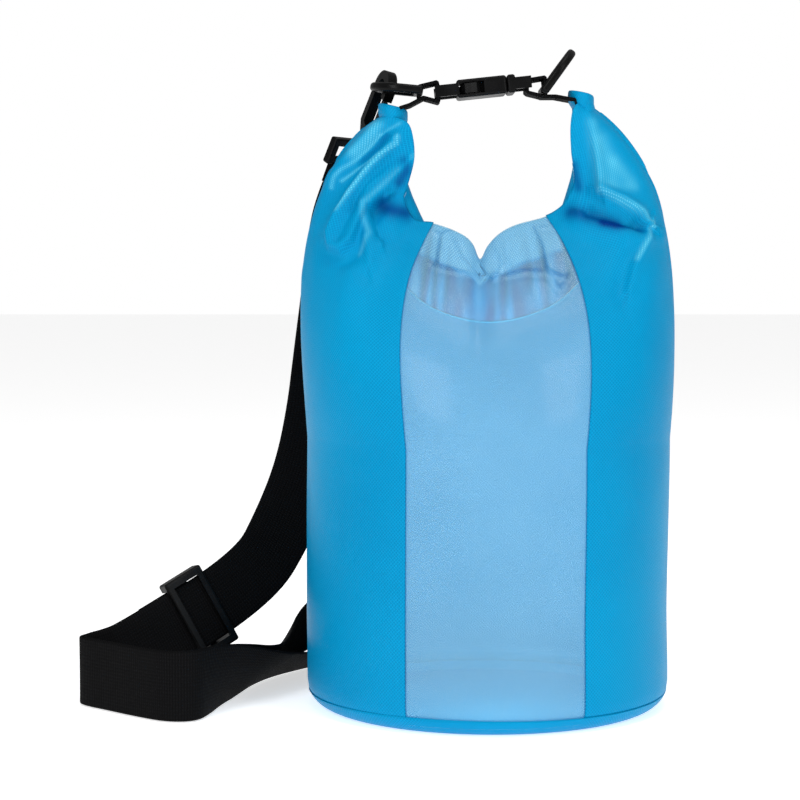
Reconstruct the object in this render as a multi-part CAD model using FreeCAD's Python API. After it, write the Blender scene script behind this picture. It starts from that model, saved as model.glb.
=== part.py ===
import FreeCAD, Part
import math
import os

V = FreeCAD.Vector

# Roll-top dry bag with a clear front window, a side-release buckle and a shoulder strap.
# Millimetres. +Z up, +X to the bag's right as seen from the window, window facing -Y.
# Origin: centre of the base, on the surface that the bag stands on.

# ---- Driving dimensions ----
BODY_R = 101.0            # radius of the round tube at the base
CORNER_R = 14.0           # rounding between the base and the tube
WALL = 0.8                # coated fabric
SEAM_Z = 10.0             # top of the base panel's turned-up rim
WEB_Y = -14.0             # plane where front and back panels meet below the roll
TOP_Z = 350.0             # above everything made of fabric
FRONT_SLOPE = 0.62        # how fast the shoulder falls towards the front
BACK_SLOPE = 0.35         # and towards the back
ROLL_X, ROLL_Z = 1.0, 282.0   # centre of the U that the rolled mouth is bent into
ROLL_OUT_R = 67.0         # the roll's outer edge
ROLL_IN_R = 36.0          # the roll's inner edge
ROLL_GAP = 2.0            # clearance between the roll and the panels
ROLL_LIFT = 1.0           # from the ridge's plane to the roll's front face
# Middle of the roll and its half height and half depth, at its left and right ends.
LEFT_END = ((-52.5, 331, 5.4, 13.0), (-53, 315, 7.4, 12.4), (-55.5, 299, 9.0, 11.6))
RIGHT_END = ((55.5, 299, 9.6, 11.6), (54, 318, 8.2, 12.4), (51.5, 338, 5.6, 13.0))
STIFFENER = (18.0, 1.2)   # width and thickness of the strip in the roll

CLOSE_WEB = (25.0, 1.4)   # closing webbing: width, thickness
STRAP = (38.0, 1.6)       # shoulder webbing: width, thickness
LOOP_R = 3.3              # centreline of webbing round a buckle's or an eye's bar
RING_LOOP_R = 4.2         # and round a D-ring's bar

BUCKLE_AT = V(-3.5, 0, 343.0)
BUCKLE_TILT = 6.0         # degrees, right end up
BUCKLE_W = 33.0
BUCKLE_T = 10.0
BUCKLE_SPLIT = 13.3       # where the plug's flange meets the socket
BUCKLE_BAR_U = 24.3       # each strap bar's distance from the middle
BAR_R = 2.2
RAIL_T = 3.2              # half thickness of the rails beside each strap bar
SOCKET_END = -14.5        # the socket's closed end along the buckle
SOCKET_ROOM = (14.3, 3.2)     # half width and half thickness of its inside
LATCH_HINGE_U = 12.4      # where each latch arm flexes
LATCH_Y = 11.0
LATCH_T = 5.2
HEAD_U = (-12.5, -1.0)    # the latch head along the buckle

RING_ROD = 5.2            # D-ring's section
RING_SLOT_W = 25.6        # opening along the bar
RING_ARC_U = 9.0          # arc centre's distance from the bar
LEFT_RING_AT = V(-38.9, 0, 341.3)
LEFT_RING_TILT = 174.5    # degrees from +X towards +Z
RIGHT_RING_AT = V(31.0, 0, 342.0)
RIGHT_RING_TILT = 54.0
LOWER_RING_AT = V(-10.0, 108.5, 94.0)
PATCH_T = 1.5             # welded patch behind the lower ring
PATCH_H = 46.0
TAB_REACH = 21.0          # webbing tab above the ring's bar
LEFT_ROOT = ((-52.5, 318.0), (-50.5, 332.5))     # where the webbing comes out of the roll
RIGHT_ROOT = ((51.0, 326.0), (48.5, 338.0))

HOOK_T = 5.5              # thickness of the hook's moulding
HOOK_OUT_R = 10.2
HOOK_IN_R = 5.2
HOOK_BASE_Z = -23.0       # top of the hook's base, below the ring's rod
HOOK_NECK_Z = -28.0
EYE_BAR_Z = -45.0         # the eye's strap bar
EYE_IN = 39.0             # eye's opening, across the strap
PIN_R = 2.0
PIN_GAP = 0.08
GATE_PIN_R = 0.9
GATE_PIVOT = (7.3, -21.1)     # x and z of the gate's pin
GATE_BOSS_R = 2.0
LEG_GAP = 3.0             # from the lower eye's middle plane to each strap leg
LOW_LEG = 9.0             # how far the lower eye's loop reaches below its bar
TOP_LEG = 14.0            # and the upper eye's
RING_GRIP_UPPER = math.radians(50)    # where the upper hook sits on the left ring's arc
RING_GRIP_LOWER = math.radians(45)
HOOK_YAW_UPPER = math.radians(20)     # the hook's turn on the ring's rod, within its play
UPPER_STEM = V(-0.36, 0.30, -0.88).normalize()
LOWER_STEM = V(-0.66, 0.22, -0.70).normalize()
UPPER_EYE_ACROSS = V(0.72, 0.69, 0)
LOWER_EYE_ACROSS = V(0.10, 0.96, 0.20)
LOWER_RING_ALONG = V(0, 0.30, -0.94).normalize()

SLIDER_AT = V(-163.0, 20.0, 47.0)
SLIDER_ALONG = V(0.753, 0.50, 0.424)
SLIDER_ACROSS = V(-0.46, -0.05, 0.87)
SLIDER_LEN = 25.0
SLIDER_W = 49.0


# ---- General helpers ----
def save(name, shape):
    shape.exportStep("parts/" + name + ".step")
    lows = shape.BoundBox
    print(name, shape.isValid(), len(shape.Solids), round(shape.Volume),
          round(lows.ZMin, 2), round(lows.ZMax, 2))


def unit(vector):
    return V(vector).normalize()


def box(x0, x1, y0, y1, z0, z1):
    return Part.makeBox(x1 - x0, y1 - y0, z1 - z0, V(x0, y0, z0))


def rod(start, end, radius):
    return Part.makeCylinder(radius, (end - start).Length, start, end - start)


def polygon_face(points):
    return Part.Face(Part.makePolygon(points + [points[0]]))


def xz_prism(outline, y0, y1):
    face = polygon_face([V(x, y0, z) for x, z in outline])
    return face.extrude(V(0, y1 - y0, 0))


def frame_placement(at, x_axis, y_axis):
    """Places a piece drawn about the origin so that its X and Y axes point as given."""
    ex = unit(x_axis)
    ez = unit(ex.cross(y_axis))
    ey = ez.cross(ex)
    matrix = FreeCAD.Matrix(ex.x, ey.x, ez.x, at.x,
                            ex.y, ey.y, ez.y, at.y,
                            ex.z, ey.z, ez.z, at.z,
                            0, 0, 0, 1)
    return FreeCAD.Placement(matrix)


def placed(shape, placement):
    copy = shape.copy()
    copy.Placement = placement
    return copy


def filleted(shape, radius):
    """Rounds every edge."""
    return shape.makeFillet(radius, shape.Edges)


def bent_line(points, radii):
    """Edges of straight runs joined by tangent arcs, one radius for each inner point."""
    edges = []
    last = points[0]
    for i in range(1, len(points) - 1):
        before = unit(points[i - 1] - points[i])
        after = unit(points[i + 1] - points[i])
        half = before.getAngle(after) / 2
        radius = radii[i - 1]
        start = points[i] + before * (radius / math.tan(half))
        end = points[i] + after * (radius / math.tan(half))
        inward = unit(before + after)
        middle = points[i] + inward * (radius / math.sin(half) - radius)
        if (start - last).Length > 1e-6:
            edges.append(Part.LineSegment(last, start).toShape())
        edges.append(Part.Arc(start, middle, end).toShape())
        last = end
    edges.append(Part.LineSegment(last, points[-1]).toShape())
    return edges


def webbing_band(path, radii, width, thick, wide_axis, a_axis, b_axis):
    """Webbing bent in one plane. path holds (a, b) points of its middle line in that plane."""
    line = [V(a, b, 0) for a, b in path]
    turns = [unit(line[i + 1] - line[i]) for i in range(len(line) - 1)]
    sides = []
    for side in (1, -1):
        moved = [line[0] + V(-turns[0].y, turns[0].x, 0) * (side * thick / 2)]
        side_radii = []
        for i in range(1, len(line) - 1):
            normal = V(-turns[i - 1].y, turns[i - 1].x, 0)
            miter = unit(normal + V(-turns[i].y, turns[i].x, 0))
            moved.append(line[i] + miter * (side * thick / 2 / miter.dot(normal)))
            left_turn = 1 if turns[i - 1].cross(turns[i]).z > 0 else -1
            side_radii.append(radii[i - 1] - side * left_turn * thick / 2)
        moved.append(line[-1] + V(-turns[-1].y, turns[-1].x, 0) * (side * thick / 2))
        sides.append((moved, side_radii))
    start = wide_axis * (-width / 2)
    edges = []
    ends = []
    for moved, side_radii in sides:
        in_space = [start + a_axis * point.x + b_axis * point.y for point in moved]
        edges += bent_line(in_space, side_radii)
        ends.append((in_space[0], in_space[-1]))
    for end in (0, 1):
        edges.append(Part.LineSegment(ends[0][end], ends[1][end]).toShape())
    face = Part.Face(Part.Wire(Part.__sortEdges__(edges)))
    return face.extrude(wide_axis * width)


# ---- Fabric ----
# Height, half width, half depth and centre Y of the tube as it flattens towards the mouth.
SHOULDER_ELLIPSES = ((30, 101, 101, 0), (75, 101, 101, 0), (122, 101.2, 101, 0),
                     (150, 102, 99.5, 0), (185, 103, 93, 0), (215, 103, 80, 0), (240, 103, 62, 0),
                     (258, 102, 46, -1), (275, 100, 32, -3), (295, 97, 23, -6), (320, 92, 17, -8),
                     (352, 86, 14, -9))
# The bag's outline from the front, from the left side over the mouth's ridge to the right side.
OUTLINE = ((-130, -60), (-130, 215), (-103.5, 222), (-101, 256), (-95, 279), (-88, 297), (-75, 313),
           (-64, 326), (-60, 333), (-54, 334), (-46, 328), (-41, 305), (-44, 292), (-46, 281),
           (-41, 270), (-30, 268.5), (-20, 265), (-12, 261), (-5, 251), (5, 262.5), (14, 268),
           (30, 272), (40, 278), (46, 290), (45, 305), (44, 322), (46, 337), (51, 342.5), (57, 338),
           (69, 321), (81, 305), (90, 290), (97, 276), (102, 262), (104, 222), (130, 215),
           (130, -60))
LOFT_Z = SHOULDER_ELLIPSES[0][0]
WINDOW = ((-46.5, SEAM_Z), (-46, 238), (-42, 252), (-36, 262), (-29, 270), (-29, TOP_Z),
          (29, TOP_Z), (29, 275), (38, 267), (45, 254), (48, 236), (50, SEAM_Z))


def pod(inset):
    """The round tube with its rounded base corner, flattening above the shoulder."""
    radius = BODY_R - inset
    corner = CORNER_R - inset
    arc_mid = V(radius - corner + corner * math.sin(math.pi / 4), 0,
                inset + corner - corner * math.cos(math.pi / 4))
    half = Part.Wire([
        Part.LineSegment(V(0, 0, inset), V(radius - corner, 0, inset)).toShape(),
        Part.Arc(V(radius - corner, 0, inset), arc_mid, V(radius, 0, inset + corner)).toShape(),
        Part.LineSegment(V(radius, 0, inset + corner), V(radius, 0, LOFT_Z)).toShape(),
        Part.LineSegment(V(radius, 0, LOFT_Z), V(0, 0, LOFT_Z)).toShape(),
        Part.LineSegment(V(0, 0, LOFT_Z), V(0, 0, inset)).toShape()])
    lower = Part.Face(half).revolve(V(0, 0, 0), V(0, 0, 1), 360)
    wires = []
    for z, half_width, half_depth, middle_y in SHOULDER_ELLIPSES:
        ellipse = Part.Ellipse(V(0, middle_y, z), half_width - inset, half_depth - inset)
        wires.append(Part.Wire([ellipse.toShape()]))
    upper = Part.makeLoft(wires, True, False)
    return lower.fuse(upper).removeSplitter()


def inset_outline(points, inset):
    """The closed outline moved inwards by inset, corner by corner."""
    moved = []
    for i, (x, z) in enumerate(points):
        before = V(x, z, 0) - V(*points[i - 1], 0)
        after = V(*points[(i + 1) % len(points)], 0) - V(x, z, 0)
        normal_a = unit(V(before.y, -before.x, 0))
        normal_b = unit(V(after.y, -after.x, 0))
        miter = unit(normal_a + normal_b)
        step = inset / max(0.5, miter.dot(normal_a))
        moved.append((x + miter.x * step, z + miter.y * step))
    return moved


def outline_face(y, inset):
    points = inset_outline(OUTLINE, inset)
    return polygon_face([V(x, y, z) for x, z in points])


def roll_space(grow):
    """What the rolled mouth takes out of the back half: the U's inside and all above it."""
    radius = ROLL_OUT_R + ROLL_GAP + grow
    round_part = Part.makeCylinder(radius, 240, V(ROLL_X, -120, ROLL_Z), V(0, 1, 0))
    above = xz_prism(((ROLL_X - radius, ROLL_Z), (ROLL_X + radius, ROLL_Z),
                      (60 + grow, TOP_Z + 10), (-63 - grow, TOP_Z + 10)), -120, 120)
    return round_part.fuse(above)


def bag_solid(inset):
    """The closed outer shape of the tube, inset by a wall thickness."""
    meet = WEB_Y - inset
    front_reach = V(0, -120, -120 * FRONT_SLOPE)
    back_reach = V(0, 130, -130 * BACK_SLOPE)
    front = outline_face(meet, inset).extrude(front_reach)
    back = outline_face(meet, inset).cut(roll_space(inset)).extrude(back_reach)
    return pod(inset).common(front.fuse(back))


def fabric_pieces():
    wall = bag_solid(0).cut(bag_solid(WALL))
    rim = box(-130, 130, -130, 130, -5, SEAM_Z)
    base = wall.common(rim)
    upper = wall.cut(rim)
    window_cutter = xz_prism(WINDOW, -130, WEB_Y)
    window = upper.common(window_cutter)
    tube = upper.cut(window_cutter)
    return {"tube_wall": tube, "window_panel": window, "base_panel": base}


# ---- Rolled mouth ----
def roll_stations():
    """(middle, outward direction, half height, half depth) along the U."""
    found = []
    middle_r = (ROLL_OUT_R + ROLL_IN_R) / 2
    half_high = (ROLL_OUT_R - ROLL_IN_R) / 2
    for x, z, high, deep in LEFT_END:
        found.append((x, z, V(-1, 0, -0.05), high, deep))
    for degrees in (200, 225, 250, 270, 290, 315, 340):
        a = math.radians(degrees)
        share = abs(degrees - 270) / 90.0
        found.append((ROLL_X + middle_r * math.cos(a), ROLL_Z + middle_r * math.sin(a),
                      V(math.cos(a), 0, math.sin(a)), half_high - 4.5 * share ** 2,
                      8.0 + 3.0 * share ** 2))
    for x, z, high, deep in RIGHT_END:
        found.append((x, z, V(1, 0, 0.0), high, deep))
    front = WEB_Y + ROLL_LIFT
    return [(V(x, front + deep, z), unit(out), high, deep) for x, z, out, high, deep in found]


def mouth_roll():
    """A soft flattened tube bent into a U, slit for the stiffener and the webbing's roots."""
    wires = []
    for middle, out, high, deep in roll_stations():
        ring = []
        for step in range(16):
            a = step * math.pi / 8
            ring.append(middle + out * (high * math.cos(a)) + V(0, 1, 0) * (deep * math.sin(a)))
        curve = Part.BSplineCurve()
        curve.interpolate(ring, PeriodicFlag=True)
        wires.append(Part.Wire([curve.toShape()]))
    return Part.makeLoft(wires, True, False)


def section(middle, wide_axis, thin_axis, wide, thin):
    a = wide_axis * (wide / 2)
    b = thin_axis * (thin / 2)
    return Part.makePolygon([middle - a - b, middle + a - b, middle + a + b, middle - a + b,
                             middle - a - b])


def stiffener_strip():
    """Flat in the panel's plane at the middle, turned edge-on towards the roll's ends."""
    stations = roll_stations()[1:-1]
    wires = []
    for i, (middle, out, high, deep) in enumerate(stations):
        turn = abs(2.0 * i / (len(stations) - 1) - 1) ** 1.5 * math.pi / 2
        wide = out * math.cos(turn) + V(0, 1, 0) * math.sin(turn)
        thin = V(0, 1, 0) * math.cos(turn) - out * math.sin(turn)
        room = min(STIFFENER[0], 2 * high - 2.5 if turn < 0.8 else 2 * deep - 2.5)
        wires.append(section(middle, wide, thin, room, STIFFENER[1]))
    return Part.makeLoft(wires, True, True)


# ---- Buckle, drawn along X with its flat faces up and down ----
def strap_bar_end(side):
    """Two rails and a round bar that the webbing loops round."""
    start = BUCKLE_SPLIT + 0.4
    end = BUCKLE_BAR_U + BAR_R
    rail_in = CLOSE_WEB[0] / 2 + 0.8
    rails = box(start, end, -BUCKLE_W / 2, -rail_in, -RAIL_T, RAIL_T)
    rails = rails.fuse(box(start, end, rail_in, BUCKLE_W / 2, -RAIL_T, RAIL_T))
    reach = BUCKLE_W / 2 - 0.5
    bar = rod(V(BUCKLE_BAR_U, -reach, 0), V(BUCKLE_BAR_U, reach, 0), BAR_R)
    whole = rails.fuse(bar)
    if side < 0:
        whole = whole.mirror(V(0, 0, 0), V(1, 0, 0))
    return whole


def rounded_box(x0, x1, half_w, half_t, radius):
    block = box(x0, x1, -half_w, half_w, -half_t, half_t)
    return filleted(block, radius)


def buckle_socket():
    room_w, room_t = SOCKET_ROOM
    shell = rounded_box(SOCKET_END, BUCKLE_SPLIT - 0.3, BUCKLE_W / 2, BUCKLE_T / 2, 1.6)
    cavity = box(SOCKET_END + 1.6, BUCKLE_SPLIT + 1, -room_w, room_w, -room_t, room_t)
    windows = box(HEAD_U[0] - 0.8, HEAD_U[1] + 1.6, -BUCKLE_W, BUCKLE_W, -room_t, room_t)
    return shell.fuse(strap_bar_end(-1)).cut(cavity).cut(windows)


def buckle_plug():
    flange = rounded_box(BUCKLE_SPLIT, BUCKLE_SPLIT + 4.5, BUCKLE_W / 2, BUCKLE_T / 2, 1.4)
    flange = flange.fuse(strap_bar_end(1).cut(box(0, BUCKLE_SPLIT + 2, -40, 40, -9, 9)))
    prong = box(-9.5, BUCKLE_SPLIT + 1, -3.0, 3.0, -2.2, 2.2)
    return flange.fuse(prong)


def latch_arm(side):
    """Spring arm from the plug's flange to a thumb head that stands in the socket's window."""
    outline = ((LATCH_HINGE_U, 9.4), (LATCH_HINGE_U, 12.4), (3.0, 12.0), (HEAD_U[1], 13.6),
               (HEAD_U[1] - 2.5, 16.2), (-6.5, 17.2), (-10.0, 16.2), (HEAD_U[0], 12.8),
               (HEAD_U[0], 9.6), (-5.0, 10.2), (0.0, 9.4))
    face = polygon_face([V(x, y * side, -LATCH_T / 2) for x, y in outline])
    return face.extrude(V(0, 0, LATCH_T))


BUCKLE_FRAME = FreeCAD.Placement(BUCKLE_AT, FreeCAD.Rotation(V(0, 1, 0), -BUCKLE_TILT))


def buckle_point(u, n):
    point = BUCKLE_FRAME.multVec(V(u, 0, n))
    return point.x, point.z


# ---- D-rings: bar along Y at the origin, ring reaching along +X ----
def d_ring():
    outer_w = RING_SLOT_W / 2 + RING_ROD - 0.3
    inner_w = RING_SLOT_W / 2
    half = RING_ROD / 2

    def outline(width, back):
        arc = Part.Arc(V(RING_ARC_U, -width, 0), V(RING_ARC_U + width, 0, 0),
                       V(RING_ARC_U, width, 0)).toShape()
        sides = [V(RING_ARC_U, width, 0), V(back, width, 0), V(back, -width, 0),
                 V(RING_ARC_U, -width, 0)]
        lines = [Part.LineSegment(sides[i], sides[i + 1]).toShape() for i in range(3)]
        return Part.Face(Part.Wire([arc] + lines))

    flat = outline(outer_w, -half).cut(outline(inner_w, half))
    solid = flat.extrude(V(0, 0, RING_ROD - 0.4))
    solid.translate(V(0, 0, -(RING_ROD - 0.4) / 2))
    return filleted(solid, 1.9)


def ring_axis(tilt):
    a = math.radians(tilt)
    return V(math.cos(a), 0, math.sin(a))


# ---- Closing webbing ----
def closing_webbing(ring, sign, root):
    """From inside the roll's end, under the ring's bar, round the buckle's bar, back over the
    ring's bar and down round it to the sewn end. sign is -1 on the left and 1 on the right."""
    bar_u = sign * BUCKLE_BAR_U
    inner_u = sign * (BUCKLE_BAR_U - LOOP_R)
    low = ring.z - RING_LOOP_R - CLOSE_WEB[1] - 0.3
    path = list(root) + [
        (ring.x + sign * 5.5, low),
        (ring.x - sign * 3.0, low),
        buckle_point(bar_u + sign * 1.0, -LOOP_R),
        buckle_point(inner_u, -LOOP_R),
        buckle_point(inner_u, LOOP_R),
        buckle_point(bar_u + sign * 1.0, LOOP_R),
        (ring.x - sign * 1.0, ring.z + RING_LOOP_R),
        (ring.x + sign * RING_LOOP_R, ring.z + RING_LOOP_R),
        (ring.x + sign * RING_LOOP_R, ring.z - RING_LOOP_R),
        (ring.x - sign * 0.3, ring.z - RING_LOOP_R)]
    tight = LOOP_R * 0.98
    wide = RING_LOOP_R * 0.98
    radii = [2.5, 3.0, 3.0, 3.0, tight, tight, 3.0, 3.0, wide, wide]
    return webbing_band(path, radii, CLOSE_WEB[0], CLOSE_WEB[1], V(0, 1, 0), V(1, 0, 0), V(0, 0, 1))


# ---- Snap hook, drawn with the ring's rod at the origin and the strap below ----
def hook_outline():
    """Thick spine on the left, round top, open on the right for the gate."""
    top = Part.Arc(V(-HOOK_OUT_R, 0, 0), V(0, 0, HOOK_OUT_R), V(HOOK_OUT_R, 0, 0)).toShape()
    nose = Part.LineSegment(V(HOOK_OUT_R, 0, 0), V(HOOK_OUT_R, 0, -4.0)).toShape()
    nose_in = Part.LineSegment(V(HOOK_OUT_R, 0, -4.0), V(HOOK_IN_R + 0.6, 0, -3.0)).toShape()
    nose_up = Part.LineSegment(V(HOOK_IN_R + 0.6, 0, -3.0), V(HOOK_IN_R, 0, 0)).toShape()
    inner = Part.Arc(V(HOOK_IN_R, 0, 0), V(0, 0, HOOK_IN_R), V(-HOOK_IN_R, 0, 0)).toShape()
    points = [V(-HOOK_IN_R, 0, 0), V(-HOOK_IN_R + 0.4, 0, HOOK_BASE_Z + 1.0),
              V(-2.0, 0, HOOK_BASE_Z), V(HOOK_OUT_R - 0.4, 0, HOOK_BASE_Z),
              V(HOOK_OUT_R - 0.4, 0, HOOK_BASE_Z - 2.5), V(5.0, 0, HOOK_NECK_Z),
              V(-5.0, 0, HOOK_NECK_Z), V(-HOOK_OUT_R, 0, HOOK_BASE_Z), V(-HOOK_OUT_R, 0, 0)]
    lines = [Part.LineSegment(points[i], points[i + 1]).toShape() for i in range(len(points) - 1)]
    return Part.Face(Part.Wire([top, nose, nose_in, nose_up, inner] + lines))


def hook_body():
    """The moulded hook with its gate pin and the headed swivel pin below."""
    plate = hook_outline().extrude(V(0, HOOK_T, 0))
    plate.translate(V(0, -HOOK_T / 2, 0))
    px, pz = GATE_PIVOT
    ears = rod(V(px, -HOOK_T / 2, pz), V(px, HOOK_T / 2, pz), 2.3)
    slot = box(px - 3.2, px + 8, -1.5, 1.5, HOOK_BASE_Z - 0.6, pz + 6)
    gate_pin = rod(V(px, -HOOK_T / 2 + 0.3, pz), V(px, HOOK_T / 2 - 0.3, pz), GATE_PIN_R)
    swivel = rod(V(0, 0, HOOK_NECK_Z + 1), V(0, 0, HOOK_NECK_Z - 8.2), PIN_R)
    head = rod(V(0, 0, HOOK_NECK_Z - 8.2), V(0, 0, HOOK_NECK_Z - 10.0), 3.2)
    return plate.fuse(ears).cut(slot).fuse([gate_pin, swivel, head])


def hook_gate():
    """Sprung bar that closes the hook's mouth, turning on its pin at the foot."""
    px, pz = GATE_PIVOT
    boss = rod(V(px, -1.2, pz), V(px, 1.2, pz), GATE_BOSS_R)
    bar = box(px - 1.7, px + 1.9, -1.2, 1.2, pz, -4.6)
    hole = rod(V(px, -3, pz), V(px, 3, pz), GATE_PIN_R + 0.06)
    return boss.fuse(bar).cut(hole)


def strap_eye():
    """Collar round the swivel pin and the slotted frame that the shoulder webbing loops round."""
    top = HOOK_NECK_Z - 0.5
    collar = rod(V(0, 0, top), V(0, 0, HOOK_NECK_Z - 7.9), 4.3)
    half_in = EYE_IN / 2
    frame = box(-half_in - 4, half_in + 4, -2.4, 2.4, EYE_BAR_Z - 2.4, HOOK_NECK_Z - 3.8)
    frame = filleted(frame, 1.2)
    slot_low = EYE_BAR_Z + 2.3
    slot = box(-half_in, half_in, -9, 9, slot_low, HOOK_NECK_Z - 7.9)
    low_bar = box(-half_in, half_in, -9, 9, EYE_BAR_Z - 5, slot_low)
    round_bar = rod(V(-half_in - 1, 0, EYE_BAR_Z), V(half_in + 1, 0, EYE_BAR_Z), BAR_R)
    hole = rod(V(0, 0, top + 1), V(0, 0, EYE_BAR_Z + 2.5), PIN_R + PIN_GAP)
    return frame.cut(low_bar).fuse(round_bar).fuse(collar).cut(slot).cut(hole)


def hook_frame(ring_at, along, sideways, grip, yaw, stem):
    """Where a hook grips a ring: grip turns from the ring's tip towards sideways, and yaw turns
    the hook further about its own stem."""
    arc_r = RING_SLOT_W / 2 + (RING_ROD - 0.3) / 2
    reach = along * (RING_ARC_U + arc_r * math.cos(grip))
    at = ring_at + reach + sideways * (arc_r * math.sin(grip))
    facing = sideways * math.cos(grip + yaw) - along * math.sin(grip + yaw)
    across = unit(facing - stem * facing.dot(stem))
    return frame_placement(at, stem.cross(across), across)


def eye_placement(hook, stem, across):
    """The eye shares the hook's swivel axis and faces its own way."""
    level = across - stem * across.dot(stem)
    return frame_placement(hook.Base, level, level.cross(stem))


# ---- Shoulder strap ----
def ribbon(stations, width, thick):
    """Webbing through (point, across) stations; across is the direction of its width."""
    wires = []
    count = len(stations)
    for i, (point, across) in enumerate(stations):
        ahead = stations[min(i + 1, count - 1)][0] - stations[max(i - 1, 0)][0]
        along = unit(ahead)
        wide = unit(across - along * across.dot(along))
        wires.append(section(point, wide, along.cross(wide), width, thick))
    return Part.makeLoft(wires, True, True)


def smooth_route(name, route):
    """Replaces each inner point of a route by the start, middle and end of its tangent arc."""
    stations = [route[0]]
    radii = []
    for i in range(1, len(route) - 1):
        point, across = route[i]
        to_before = route[i - 1][0] - point
        to_after = route[i + 1][0] - point
        run = min(to_before.Length, to_after.Length)
        reach = 0.45 * run
        half_turn = (math.pi - to_before.getAngle(to_after)) / 2
        radius = reach / math.tan(half_turn)
        radii.append(round(radius))
        start = point + unit(to_before) * reach
        end = point + unit(to_after) * reach
        bulge = radius * (1 / math.cos(half_turn) - 1)
        middle = point + unit(unit(to_before) + unit(to_after)) * bulge
        blend = reach / to_before.Length
        stations.append((start, across * (1 - blend) + route[i - 1][1] * blend))
        stations.append((middle, across))
        blend = reach / to_after.Length
        stations.append((end, across * (1 - blend) + route[i + 1][1] * blend))
    stations.append(route[-1])
    print(name, "arc radii", radii)
    return stations


def route_length(stations):
    return sum((stations[i + 1][0] - stations[i][0]).Length for i in range(len(stations) - 1))


UP = V(0, 0, 1)


def main_route(top, top_run, low_run, low_leg):
    """From the upper eye, down behind the bag's left side, through the slider, round the fold
    that stands on the floor, and up behind the bag to the lower eye."""
    at, along, wide, face = slider_axes()
    return [
        top,
        top_run,
        (V(-86, 38, 262), V(-0.78, -0.62, 0.10)),
        (V(-89, 53, 234), V(-0.83, -0.56, 0.05)),
        (V(-94, 69, 197), V(-0.88, -0.47, 0.0)),
        (V(-98, 79, 158), V(-0.94, -0.34, 0.05)),
        (V(-105, 78, 122), V(-0.92, -0.22, 0.30)),
        (V(-117, 62, 92), V(-0.76, -0.12, 0.62)),
        (at + along * 40, wide),
        (at - along * 48, wide),
        (V(-212, -4.5, 21.8), V(-0.16, 0, 0.98)),
        (V(-221, -4.0, 19.8), UP),
        (V(-226, -8.5, 19.6), UP),
        (V(-222, -15, 19.6), UP),
        (V(-210, -26, 19.6), UP),
        (V(-192, -43, 19.6), UP),
        (V(-174, -57.5, 19.6), UP),
        (V(-160.5, -56, 19.6), UP),
        (V(-154, -40, 19.6), V(0.12, 0, 0.99)),
        (V(-144, -14, 18.6), V(0.45, -0.08, 0.87)),
        (V(-130.5, 13, 16.2), V(0.72, -0.13, 0.66)),
        (V(-124, 39, 17.5), V(0.66, -0.20, 0.70)),
        (V(-116, 62, 23), V(0.40, -0.20, 0.88)),
        (V(-103, 84, 30), V(0.22, -0.25, 0.93)),
        (V(-86, 103, 34), V(0.10, -0.50, 0.85)),
        low_run,
        low_leg]


def return_route(low_leg, low_run):
    """From the lower eye along the floor, then outside the main run round the fold, to the
    slider's middle bar."""
    at, along, wide, face = slider_axes()
    behind = face * -5.3
    return [
        low_leg,
        low_run,
        (V(-68, 115, 14), V(0.25, -0.88, 0.36)),
        (V(-80, 101, 8.8), V(0.47, -0.78, 0.38)),
        (V(-97, 79, 8.8), V(0.65, -0.63, 0.40)),
        (V(-110, 59, 9.6), V(0.78, -0.42, 0.43)),
        (V(-119.5, 37, 11.6), V(0.80, -0.25, 0.52)),
        (V(-127, 11.5, 13.6), V(0.76, -0.13, 0.62)),
        (V(-140.5, -14.6, 17.4), V(0.47, -0.08, 0.87)),
        (V(-151.4, -40.6, 19.6), V(0.12, 0, 0.99)),
        (V(-158.6, -58.4, 19.6), UP),
        (V(-174.6, -60.2, 19.6), UP),
        (V(-193.6, -45.0, 19.6), UP),
        (V(-211.6, -28.0, 19.6), UP),
        (V(-224, -17.0, 19.6), UP),
        (V(-228.8, -8.5, 19.6), UP),
        (V(-222, -1.4, 20.0), UP),
        (V(-212, -1.2, 22.4), V(-0.16, 0, 0.98)),
        (at - along * 46 + behind, wide),
        (at - along * 15 + behind, wide)]


def slider_axes():
    along = unit(SLIDER_ALONG)
    wide = unit(SLIDER_ACROSS - along * SLIDER_ACROSS.dot(along))
    return SLIDER_AT, along, wide, along.cross(wide)


def slider_placement():
    at, along, wide, face = slider_axes()
    return frame_placement(at, along, wide)


def strap_slider():
    """Frame with two front bars and a rear middle bar; the webbing runs between them."""
    half_l, half_w = SLIDER_LEN / 2, SLIDER_W / 2
    rail_in = STRAP[0] / 2 + 0.9
    frame = filleted(box(-half_l, half_l, -half_w, half_w, -7.0, 3.2), 1.4)
    hollow = box(-half_l + 4.2, half_l - 4.2, -rail_in, rail_in, -20, 20)
    passage = box(-40, 40, -rail_in, rail_in, -20, 1.2)
    bar = box(-2.0, 2.0, -rail_in - 1, rail_in + 1, -6.4, -4.2)
    return frame.cut(hollow).cut(passage).fuse(filleted(bar, 0.8))


def strap_end_loop():
    """The webbing's end, folded round the slider's middle bar; it moves with the slider."""
    path = [(-29, -2.6), (4.6, -2.6), (4.6, -8.0), (-29, -8.0)]
    return webbing_band(path, [2.6, 2.6], STRAP[0], STRAP[1], V(0, 1, 0), V(1, 0, 0), V(0, 0, 1))


def eye_loop(leg_gap, leg_end):
    """Webbing round an eye's bar, in the eye's own frame."""
    r = LOOP_R + 0.1
    path = [(-leg_gap, EYE_BAR_Z - leg_end), (-r, EYE_BAR_Z - 1.5), (-r, EYE_BAR_Z + r),
            (r, EYE_BAR_Z + r), (r, EYE_BAR_Z - 1.5), (leg_gap, EYE_BAR_Z - leg_end)]
    return webbing_band(path, [3.0, r * 0.98, r * 0.98, 3.0], STRAP[0], STRAP[1],
                        V(1, 0, 0), V(0, 1, 0), V(0, 0, 1))


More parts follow.
